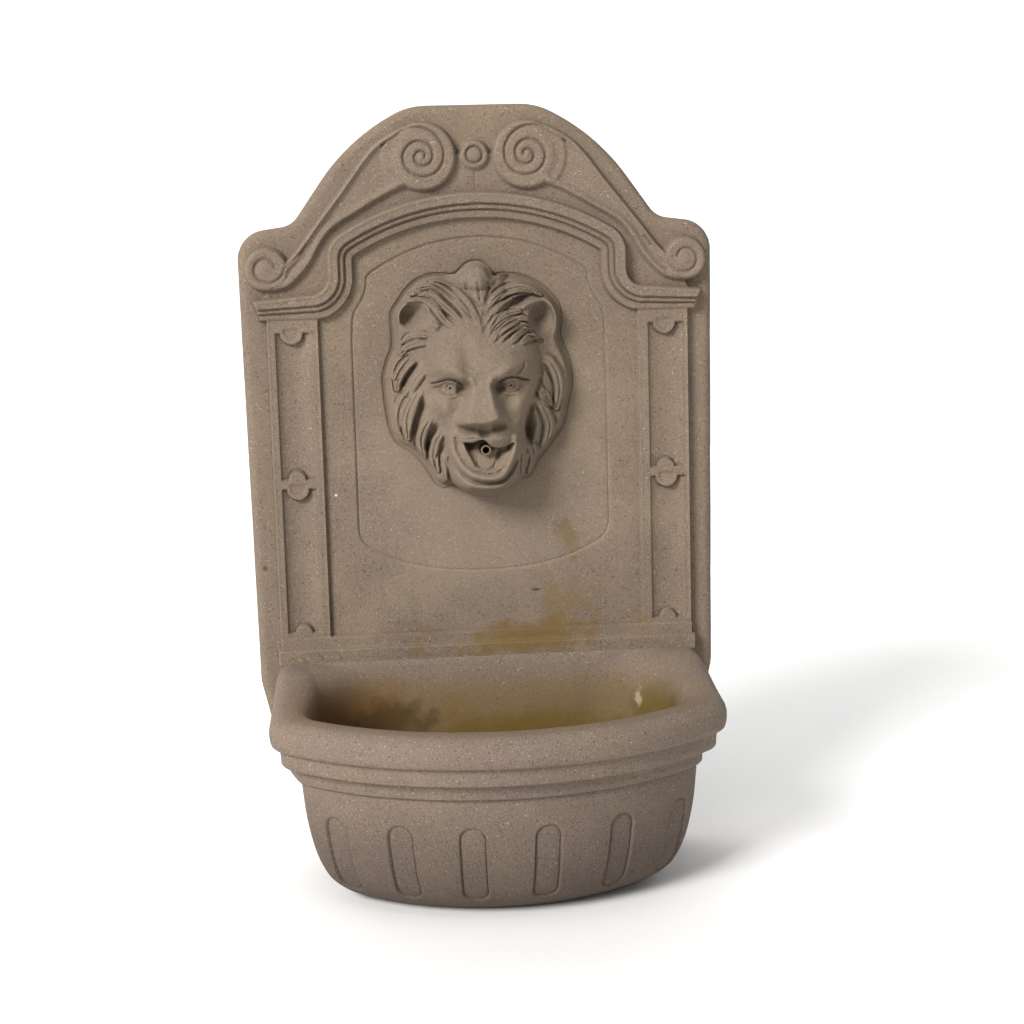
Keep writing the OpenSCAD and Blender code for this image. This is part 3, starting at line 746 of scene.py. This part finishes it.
def mask_height(x, z):
    """The lion's head in relief: mane, skull, features, then the open mouth."""
    edge = -to_outline(x, z, ring_of(MANE_EDGE))
    inside = np.maximum(edge, 0)
    f = NICHE_F - 3 + 18 * ease(inside / 9) + 21 * ease((inside - 6) / 40)
    half = profile(z, SKULL_HALF)
    centre = np.interp(z, [380, 430, 470, 560], [3, 2, 0, -1])
    u = (x - centre) / half
    skull = profile(z, SKULL) - 9 * u ** 2 - 22 * np.abs(u) ** 4.5
    blend = ease((skull - f + 5) / 10)
    f = f * (1 - blend) + np.maximum(skull, f) * blend

    # crown knob with its hanging drop of hair
    f += 11 * dome(oval(x, z, (-3, 589), 21, 15)) ** 1.5 * ease((edge - 0.5) / 7)
    furrows(f, x, z, CROWN)
    f += 4.0 * dome(oval(x, z, (-2, 573), 11, 15)) ** 1.4

    bare = f.copy()
    for points, width, height in LOCKS:
        lock(f, x, z, points, width, height)
    ears(f, x, z, bare)
    furrows(f, x, z, PARTINGS, 0.25)
    swell(f, x, z, (45.5, 437), 8, 19, -14, -8)
    swell(f, x, z, (39, 563), 16, 6, -10, 25)

    brow_and_eyes(f, x, z)
    nose_and_muzzle(f, x, z)
    mouth(f, x, z)
    f += 0.5 * unevenness(x, z, 9, 3) + 0.35 * unevenness(x, z, 4, 4) + 0.24 * unevenness(x, z, 1.9, 6)
    return np.where(edge > 0, f, np.minimum(f, NICHE_F - 4))


def ears(f, x, z, bare):
    """Hollow ears with a rolled rim over the top, set into the hair."""
    for cx, cz, rx, rz in ((-64.5, 549, 14.5, 14), (60, 545, 13.5, 15)):
        ring = oval(x, z, (cx, cz), rx, rz)
        bowl = bare - 2 - 15 * bump(oval(x, z, (cx - 2, cz + 2), rx * 1.15, rz * 1.15))
        w = 1 - ease((ring - 0.80) / 0.26)
        f[:] = f * (1 - w) + bowl * w
    furrow(f, x, z, [(-79.5, 540.5), (-80, 551.5), (-74, 561.5), (-64, 565.5), (-53, 562),
                     (-47.5, 551.5)], 3.6, -4.5)
    furrow(f, x, z, [(36, 552.5), (45, 558.5), (55, 562), (64, 562.5), (71, 556.5), (75, 546.5),
                     (75, 533), (71, 525.5)], 4.0, -6.5)
    swell(f, x, z, (-43.5, 541.5), 9, 6, 4.5, -25)
    furrow(f, x, z, [(-47.5, 545.5), (-40.5, 542.5), (-35, 537)], 1.6, 1.6)


def brow_and_eyes(f, x, z):
    """The brow's folds, and each eye: socket, ball, iris ring, pupil and lids."""
    swell(f, x, z, (-34, 507), 24, 15, 4.0)
    swell(f, x, z, (16, 508), 26, 16, 4.5)
    furrow(f, x, z, [(-21, 540), (-16, 516), (-11, 500), (-7, 488)], 12, 3.6, 0.45)
    for side, ex, ez in ((-1, -32.6, 481), (1, 26.4, 482)):
        swell(f, x, z, (ex - side * 1, ez + 17), 27, 12, 6.5, side * 6)
        swell(f, x, z, (ex - side * 12, ez + 11), 16, 8, 7.0, side * 28)
        swell(f, x, z, (ex, ez + 0.5), 22, 10, -11, -side * 4)
        swell(f, x, z, (ex - side * 13, ez - 1), 10, 10, -10)
        swell(f, x, z, (ex + side * 7, ez - 19), 21, 13, 6, side * 24)
        f += 5.6 * dome(oval(x, z, (ex, ez), 9, 6.2))
        ring = np.hypot(x - ex, z - ez)
        f -= 1.4 * bump((ring - 3.6) / 1.1) + 5.0 * bump(ring / 1.7)
        upper = [(ex + side * 21, ez + 3.5), (ex + side * 12, ez + 6), (ex + side * 2, ez + 9),
                 (ex - side * 7, ez + 7), (ex - side * 13, ez + 1)]
        furrow(f, x, z, upper, 2.0, 5.5)
        furrow(f, x, z, [(a, b - 2.4) for a, b in upper], 2.0, -2.2)
        lower = [(ex + side * 15, ez - 1), (ex + side * 8, ez - 6), (ex - side * 2, ez - 7.6),
                 (ex - side * 10, ez - 4)]
        furrow(f, x, z, lower, 1.8, -1.3)
        furrow(f, x, z, [(a, b - 3.2) for a, b in lower], 2.6, 0.9)
    furrow(f, x, z, [(40, 505), (37, 498), (30, 492)], 2.0, 3.2)


def nose_and_muzzle(f, x, z):
    """The nose's ridge and blunt end, the lips and the hollows at the nose's sides."""
    slant = z - 3.2 * ease((x + 1) / 13)
    across = (x - np.interp(z, [440, 500], [-3.5, -3])) / profile(z, NOSE_HALF)
    ridge = np.maximum(profile(slant, NOSE), 0) * (slant > 443) * (slant < 512)
    f += ridge * (1 - ease((np.abs(across) - 0.48) / 0.62))
    swell(f, x, z, (0, 439), 42, 19, 5)
    # the left lip is flat and creased, the right one hangs fuller and lower
    swell(f, x, z, (-20, 434.5), 20, 8, 3.5, -4)
    swell(f, x, z, (15, 433), 19, 12, 6.5, 6)
    swell(f, x, z, (-15, 441), 16, 6, -10)
    swell(f, x, z, (-1, 439), 8, 8, -9)
    swell(f, x, z, (12, 443), 11, 5, -6.5, 12)
    for lift in (0, 2.8):
        furrow(f, x, z, [(-36, 433.5 + lift), (-22, 432 + lift), (-8, 433 + lift)], 1.3, 1.4)
    furrow(f, x, z, [(24, 437), (14, 436.5), (8, 434)], 1.3, 1.0)
    swell(f, x, z, (-28, 461), 12, 18, -3.5, -15)
    swell(f, x, z, (25, 463), 11, 20, -5.5, 15)


JAW = [(-34.5, 437.5), (-33.5, 427.5), (-32, 419), (-27.5, 409.5), (-21, 401.5), (-10.5, 396), (2, 393.5),
       (13, 395), (19.5, 401.5), (25, 411.5), (28.5, 422), (30, 434)]
MOUTH = [(-32, 431), (-31, 424), (-28.5, 416), (-24.5, 409), (-18.5, 403), (-10, 399), (2, 396.5),
         (11.5, 398), (17, 403.5), (22, 412.5), (25.5, 421), (27.5, 427), (20, 423.5), (12, 422.5), (5, 424),
         (0, 429.5), (-5, 431), (-10, 429), (-16, 428), (-24, 429)]
TONGUE_LEFT = [(-34, 431), (-23, 431), (-18.5, 421), (-10.5, 403), (-15, 400.5), (-23, 402), (-30, 413)]
TONGUE_RIGHT = [(9, 400), (13.5, 409.5), (19.5, 417.5), (25, 419), (21, 405.5), (16, 398.5)]


# the fold under the lip, the chin's ridge, and the groove round the tongue
CHIN = [
    ([(-30, 405), (-20.5, 393.5), (-9, 389), (4.5, 388), (16, 390), (23, 396), (29, 405),
      (33, 415.5)], 3.2, 6),
    ([(-20, 387.5), (-9, 383.5), (4.5, 382.5), (15, 384.5), (21, 390.5)], 4.5, -3),
    ([(-9.5, 411), (-8, 405), (-3, 401.5), (4, 401.5), (8, 405), (9.5, 411)], 1.5, 2.2),
]


def mouth(f, x, z):
    """The gape: a deep throat round the spout, the tongue's two flanks, and a doubled lower lip."""
    lip = to_line(x, z, spline(JAW, 7))
    f += 8.5 * bump(lip / 6.5) * ease((441 - z) / 8)
    gape = to_outline(x, z, ring_of(MOUTH))
    open_f = np.interp(z, [398, 403, 410, 419, 428], [90, 86, 83, 79, 68])
    open_f = open_f - 9 * bump(oval(x, z, (15, 414.5), 6, 10, -25))
    open_f = open_f - 9 * bump(oval(x, z, (-16, 424.5), 8, 7))
    for outline, height in ((TONGUE_LEFT, 91), (TONGUE_RIGHT, 87)):
        side = to_outline(x, z, ring_of(outline))
        w = within(side, 1.4)
        open_f = open_f * (1 - w) + (height + 2 * bump((side + 4) / 4)) * w
    open_f = open_f + 5 * bump((gape + 3.0) / 2.6) * ease((411 - z) / 6)
    w = within(gape + 0.6, 1.0)
    f[:] = f * (1 - w) + np.minimum(open_f, f) * w
    furrows(f, x, z, CHIN)


SPOUT_HOLE = 6


def lion_mask():
    """The carved mask, cut to the mane's edge and bored for the spout."""
    step = 0.85
    xs = np.arange(-103, 97, step)
    zs = np.arange(366, 612, step)
    x, z = np.meshgrid(xs, zs)
    f = mask_height(x.astype(float), z.astype(float))
    mask = slab("stone_lion_mask", x, z, f, NICHE_F)
    cut(mask, [prism(ring_of(MANE_EDGE), NICHE_F - 1, BEYOND_F)], "INTERSECT")
    bore = arc(0, SPOUT_Z, SPOUT_HOLE, np.linspace(0, 2 * math.pi, 32, endpoint=False))
    cut(mask, [prism(bore, 20, BEYOND_F)])
    return smooth(mask, 60)


# ---- materials


class Nodes:
    """A small builder for a material's node tree."""

    def __init__(self, name):
        self.material = bpy.data.materials.new(name)
        self.material.use_nodes = True
        self.tree = self.material.node_tree
        self.tree.nodes.clear()
        self.out = self.add("ShaderNodeOutputMaterial")
        self.shader = self.add("ShaderNodeBsdfPrincipled")
        self.link(self.shader.outputs[0], self.out.inputs[0])
        self.place = self.add("ShaderNodeTexCoord").outputs["Object"]

    def add(self, kind, **settings):
        node = self.tree.nodes.new(kind)
        for key, value in settings.items():
            setattr(node, key, value)
        return node

    def link(self, a, b):
        self.tree.links.new(a, b)

    def put(self, socket, value):
        if isinstance(value, bpy.types.NodeSocket):
            self.link(value, socket)
        else:
            socket.default_value = value

    def noise(self, scale, detail=3.0, rough=0.5, at=(0, 0, 0)):
        place = self.place
        if any(at):
            m = self.add("ShaderNodeMapping")
            self.link(place, m.inputs[0])
            m.inputs["Location"].default_value = at
            place = m.outputs[0]
        n = self.add("ShaderNodeTexNoise")
        self.link(place, n.inputs["Vector"])
        n.inputs["Scale"].default_value = scale
        n.inputs["Detail"].default_value = detail
        n.inputs["Roughness"].default_value = rough
        return n.outputs["Fac"]

    def ramp(self, value, low, high, to_low=0.0, to_high=1.0):
        n = self.add("ShaderNodeMapRange", interpolation_type="SMOOTHSTEP")
        for socket, v in zip(n.inputs, (value, low, high, to_low, to_high)):
            self.put(socket, v)
        return n.outputs[0]

    def math(self, how, a, b=0.0):
        n = self.add("ShaderNodeMath", operation=how)
        self.put(n.inputs[0], a)
        self.put(n.inputs[1], b)
        return n.outputs[0]

    def mix(self, fac, a, b, how="MIX"):
        n = self.add("ShaderNodeMix", data_type="RGBA", blend_type=how)
        self.put(n.inputs[0], fac)
        for socket, v in ((n.inputs[6], a), (n.inputs[7], b)):
            self.put(socket, (*v, 1) if isinstance(v, tuple) and len(v) == 3 else v)
        return n.outputs[2]

    def blob(self, centre, radius, ragged, scale, stretch):
        """1 near a point, falling to 0 at a ragged edge."""
        m = self.add("ShaderNodeVectorMath", operation="SUBTRACT")
        self.link(self.place, m.inputs[0])
        m.inputs[1].default_value = centre
        s = self.add("ShaderNodeVectorMath", operation="MULTIPLY")
        self.link(m.outputs[0], s.inputs[0])
        s.inputs[1].default_value = stretch
        d = self.add("ShaderNodeVectorMath", operation="LENGTH")
        self.link(s.outputs[0], d.inputs[0])
        rag = self.ramp(self.noise(scale, 4, 0.6), 0.3, 0.7, 1 - ragged, 1 + ragged)
        return self.ramp(self.math("MULTIPLY", d.outputs["Value"], rag), radius * 0.25, radius, 1, 0)

    def bump(self, height, strength, distance, normal=None):
        n = self.add("ShaderNodeBump")
        n.inputs["Strength"].default_value = strength
        n.inputs["Distance"].default_value = distance
        self.link(height, n.inputs["Height"])
        if normal:
            self.link(normal, n.inputs["Normal"])
        return n.outputs[0]

    def height(self):
        s = self.add("ShaderNodeSeparateXYZ")
        self.link(self.place, s.inputs[0])
        return s.outputs["Z"]


def stone(name, warm, grey, seed=0.0):
    """Cast sandstone: a patchy ground with fine dark and pale grains and a sandy surface, paler on sharp
    edges as painted highlight and darker in hollows as painted shade.
    """
    n = Nodes(name)
    patches = n.ramp(n.noise(9, 4, 0.6, at=(seed, 0, 0)), 0.35, 0.65)
    colour = n.mix(patches, warm, grey)
    blotches = n.ramp(n.noise(34, 5, 0.65, at=(0, seed, 3)), 0.3, 0.7)
    colour = n.mix(n.math("MULTIPLY", blotches, 0.4), colour, tuple(c * 0.78 for c in warm))
    sand = n.noise(900, 2, 0.6)
    colour = n.mix(0.5, colour, n.mix(n.ramp(sand, 0.3, 0.7), (0.25, 0.25, 0.25), (0.75, 0.75, 0.75)),
                   "OVERLAY")
    dark = n.ramp(n.noise(480, 1, 0.5, at=(7, 3, seed)), 0.645, 0.70)
    colour = n.mix(n.math("MULTIPLY", dark, 0.62), colour, (0.055, 0.042, 0.033))
    pale = n.ramp(n.noise(440, 1, 0.5, at=(1, 9, seed)), 0.67, 0.74)
    colour = n.mix(n.math("MULTIPLY", pale, 0.42), colour, (0.50, 0.43, 0.35))
    # painted highlight: paler colour on sharp edges; painted shade: darker colour in the hollows
    edge = n.add("ShaderNodeNewGeometry").outputs["Pointiness"]
    colour = n.mix(n.ramp(edge, 0.52, 0.60, 0, 0.30), colour, (0.37, 0.30, 0.235))
    colour = n.mix(n.ramp(edge, 0.40, 0.488, 0.62, 0), colour, (0.070, 0.050, 0.032))
    n.colour = colour
    rough = n.ramp(sand, 0.3, 0.7, 0.82, 0.98)
    n.put(n.shader.inputs["Roughness"], rough)
    n.shader.inputs["Specular IOR Level"].default_value = 0.25
    pits = n.ramp(n.noise(300, 2, 0.5, at=(4, 4, seed)), 0.25, 0.4)
    fine = n.bump(sand, 0.5, 0.0006)
    normal = n.bump(pits, 0.35, 0.0008, fine)
    n.link(normal, n.shader.inputs["Normal"])
    return n


def finished(n):
    """The material with the colour built up so far."""
    n.put(n.shader.inputs["Base Color"], n.colour)
    return n.material


WARM = (0.217, 0.165, 0.117)
GREY = (0.191, 0.146, 0.113)


def lay_tint(n, mask, strength, colour):
    """Lays a colour over the stone where the mask is 1."""
    n.colour = n.mix(n.math("MULTIPLY", mask, strength), n.colour, colour)


# stains, and on the panel painted light and painted shade: middle, radius, raggedness and its scale,
# stretch, strength, colour
PANEL_STAINS_LIGHT_AND_SHADE = [
    # painted light: a pale patch that lifts the niche round the mask, where the mask's shade falls
    ((0, -0.034, 0.37), 0.19, 0.4, 9, (1, 1, 0.9), 0.34, (0.33, 0.262, 0.196)),
    # painted shade: a darker patch across the top of the niche, under the arch
    ((0, -0.05, 0.505), 0.21, 0.2, 8, (1, 0.6, 1), 0.34, (0.14, 0.108, 0.074)),
    ((0.042, -0.045, 0.222), 0.084, 0.5, 40, (0.85, 1, 3.2), 0.74, (0.168, 0.1, 0.022)),
    ((0.075, -0.036, 0.255), 0.035, 0.6, 55, (1, 1, 1.2), 0.45, (0.195, 0.12, 0.038)),
    ((0.086, -0.034, 0.322), 0.016, 0.6, 70, (1.2, 1, 0.7), 0.55, (0.15, 0.1, 0.035)),
    ((0.05, -0.034, 0.27), 0.0042, 0.3, 90, (0.6, 1, 2.6), 0.9, (0.045, 0.03, 0.02)),
    ((-0.222, -0.028, 0.302), 0.004, 0.3, 90, (1, 1, 1), 0.9, (0.04, 0.03, 0.022)),
    ((-0.216, -0.028, 0.401), 0.0022, 0.3, 90, (1, 1, 1), 0.9, (0.75, 0.7, 0.64)),
    ((-0.148, -0.034, 0.374), 0.002, 0.3, 90, (1, 1, 1), 0.9, (0.75, 0.7, 0.64)),
]
BOWL_STAINS = [
    ((-0.148, -0.08, 0.168), 0.075, 0.4, 22, (0.8, 0.5, 1), 0.86, (0.15, 0.076, 0.022)),
    ((-0.106, -0.085, 0.14), 0.046, 0.5, 30, (0.9, 0.5, 1.1), 0.86, (0.06, 0.033, 0.01)),
    ((0.168, -0.085, 0.155), 0.042, 0.5, 40, (1, 0.5, 0.8), 0.75, (0.112, 0.08, 0.012)),
    ((0.146, -0.078, 0.166), 0.007, 0.5, 70, (1.6, 0.5, 0.7), 0.5, (0.52, 0.45, 0.33)),
]


def spots(n, tint_patches, where=None):
    """Lays ragged patches of colour over the stone, stains, painted light and painted shade as listed,
    inside a mask where one is given.
    """
    for middle, radius, ragged, scale, stretch, strength, colour in tint_patches:
        spot = n.blob(middle, radius, ragged, scale, stretch)
        lay_tint(n, n.math("MULTIPLY", where, spot) if where else spot, strength, colour)


def panel_stone():
    """The panel's and mask's stone, with its weathering stains, a painted pale patch of light and a painted
    band of shade in the niche.
    """
    n = stone("sandstone_panel", WARM, GREY)
    spots(n, PANEL_STAINS_LIGHT_AND_SHADE)
    return finished(n)


def basin_stone():
    """The bowl's stone: darker low down as painted shade, stained olive and brown inside by standing water.
    """
    n = stone("sandstone_basin", (0.213, 0.164, 0.122), (0.191, 0.146, 0.121), 5.0)
    z = n.height()
    # painted shade: the colour is multiplied darker towards the foot of the bowl
    low = n.ramp(n.math("ADD", z, n.ramp(n.noise(14, 3), 0, 1, -0.015, 0.015)), 0.012, 0.155)
    n.colour = n.mix(1.0, n.colour, n.mix(low, (0.54, 0.53, 0.54), (1.0, 1.0, 1.0)), "MULTIPLY")
    shape = n.add("ShaderNodeNewGeometry")
    inward = n.add("ShaderNodeVectorMath", operation="SUBTRACT")
    inward.inputs[0].default_value = (0, -0.13, 0.25)
    n.link(n.place, inward.inputs[1])
    facing = n.add("ShaderNodeVectorMath", operation="DOT_PRODUCT")
    n.link(inward.outputs[0], facing.inputs[0])
    n.link(shape.outputs["Normal"], facing.inputs[1])
    inside = n.math("MULTIPLY", n.ramp(facing.outputs["Value"], 0.0, 0.02), n.ramp(z, 0.160, 0.206, 1, 0))
    rag = n.ramp(n.noise(26, 4, 0.6), 0.3, 0.7, -0.012, 0.012)
    level = n.math("ADD", z, rag)
    lay_tint(n, inside, 0.70, (0.150, 0.093, 0.029))
    lay_tint(n, n.math("MULTIPLY", inside, n.ramp(level, 0.128, 0.160, 1, 0)), 0.82, (0.128, 0.075, 0.011))
    spots(n, BOWL_STAINS, inside)
    return finished(n)


def plain(name, colour, roughness, metallic=0.0):
    """A finished material for a small fitting: a base colour with faint wear and grain."""
    n = Nodes(name)
    wear = n.ramp(n.noise(60, 4, 0.6), 0.35, 0.7)
    n.put(n.shader.inputs["Base Color"], n.mix(n.math("MULTIPLY", wear, 0.5), colour,
                                               tuple(min(1, c * 1.35 + 0.01) for c in colour)))
    n.put(n.shader.inputs["Roughness"], n.ramp(wear, 0, 1, roughness, min(1, roughness + 0.15)))
    n.shader.inputs["Metallic"].default_value = metallic
    n.link(n.bump(n.noise(400, 2, 0.5), 0.15, 0.0003), n.shader.inputs["Normal"])
    return n.material


FITTINGS = {
    "brass": plain("tarnished_brass", (0.20, 0.155, 0.085), 0.55, 0.8),
    "steel": plain("zinc_steel", (0.55, 0.55, 0.54), 0.38, 1.0),
    "black_plastic": plain("black_moulding", (0.028, 0.028, 0.030), 0.5),
    "cover_sheet": plain("black_sheet", (0.045, 0.045, 0.047), 0.6),
    "rubber": plain("black_rubber", (0.03, 0.03, 0.03), 0.8),
    "clear_hose": plain("clouded_hose", (0.55, 0.60, 0.56), 0.35),
    "white_plastic": plain("white_moulding", (0.75, 0.75, 0.72), 0.45),
    "ceramic": plain("ceramic_rod", (0.80, 0.78, 0.72), 0.2),
    "grey_plastic": plain("grey_moulding", (0.18, 0.18, 0.19), 0.5),
}


def dress(obj, material):
    obj.data.materials.clear()
    obj.data.materials.append(material)


def dress_fittings():
    """Finished materials for the CAD nodes that stay, by the record's slots."""
    for part in frame["record"]["subparts"]:
        if part["material_slot"] in FITTINGS:
            for slot in frame["nodes"][part["node"]].material_slots:
                slot.material = FITTINGS[part["material_slot"]]


# ---- assembly


def place(obj, node, material):
    """Puts a stone casting on the font in place of its CAD node."""
    dress(obj, material)
    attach(obj, "font")
    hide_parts(node)


STONE_PANEL = panel_stone()
place(back_panel(), "back_panel", STONE_PANEL)
place(basin(), "basin", basin_stone())
place(lion_mask(), "lion_mask", STONE_PANEL)
dress_fittings()


# ---- camera, light and floor


CAMERA_AT, LENS = (-0.1112, -1.8244, 0.6149), 63.28
CAMERA_TURNS = ((-4.44, "Z"), (90 - 8.38, "X"), (-1.572, "Z"))


def camera():
    """A 63 mm view from a little left of the middle, looking slightly down and in, a touch rolled."""
    data = bpy.data.cameras.new("camera")
    data.sensor_width, data.lens = 36, LENS
    data.clip_start, data.clip_end = 0.1, 50
    cam = bpy.data.objects.new("camera", data)
    bpy.context.collection.objects.link(cam)
    pose = Matrix.Translation(CAMERA_AT)
    for degrees, axis in CAMERA_TURNS:
        pose = pose @ Matrix.Rotation(math.radians(degrees), 4, axis)
    cam.matrix_world = pose
    bpy.context.scene.camera = cam


def area_light(name, place, aim, size, power, colour=(1, 1, 1)):
    """A square lamp in metres and watts, aimed at a point."""
    data = bpy.data.lights.new(name, "AREA")
    data.shape, data.size, data.energy, data.color = "SQUARE", size, power, colour
    light = bpy.data.objects.new(name, data)
    bpy.context.collection.objects.link(light)
    light.location = place
    light.rotation_euler = (Vector(aim) - Vector(place)).to_track_quat("-Z", "Y").to_euler()


def studio():
    """Soft white surroundings, three soft lamps and a pale floor that bends up into a backdrop."""
    world = bpy.data.worlds.new("studio")
    world.use_nodes = True
    world.node_tree.nodes["Background"].inputs[0].default_value = (1, 1, 1, 1)
    world.node_tree.nodes["Background"].inputs[1].default_value = 0.38
    bpy.context.scene.world = world
    bpy.context.scene.view_settings.view_transform = "Standard"
    area_light("key", (-6.2, -7.0, 5.7), (0, -0.05, 0.4), 3.7, 1330, (1, 0.985, 0.955))
    area_light("top", (-0.5, -1.2, 3.2), (0, -0.05, 0.3), 1.3, 15)
    area_light("backdrop", (0, 1.9, 3.7), (0, 3.4, 1.6), 2.4, 42)
    n = Nodes("pale_floor")
    n.put(n.shader.inputs["Base Color"], n.mix(n.noise(3, 2), (0.92, 0.92, 0.92), (0.94, 0.94, 0.94)))
    n.shader.inputs["Roughness"].default_value = 0.9
    half, rear, bend = 6.0, 2.2, 1.0
    profile = [(-8.0, 0.0)] + [(rear + bend * math.sin(a), bend - bend * math.cos(a))
                               for a in np.linspace(0, math.pi / 2, 12)] + [(rear + bend, 6.0)]
    verts = [(x / MM, y / MM, (z - 0.0002) / MM) for x in (-half, half) for y, z in profile]
    floor = smooth(make_object("floor", verts, grid_faces(2, len(profile))), 60)
    dress(floor, n.material)


camera()
studio()
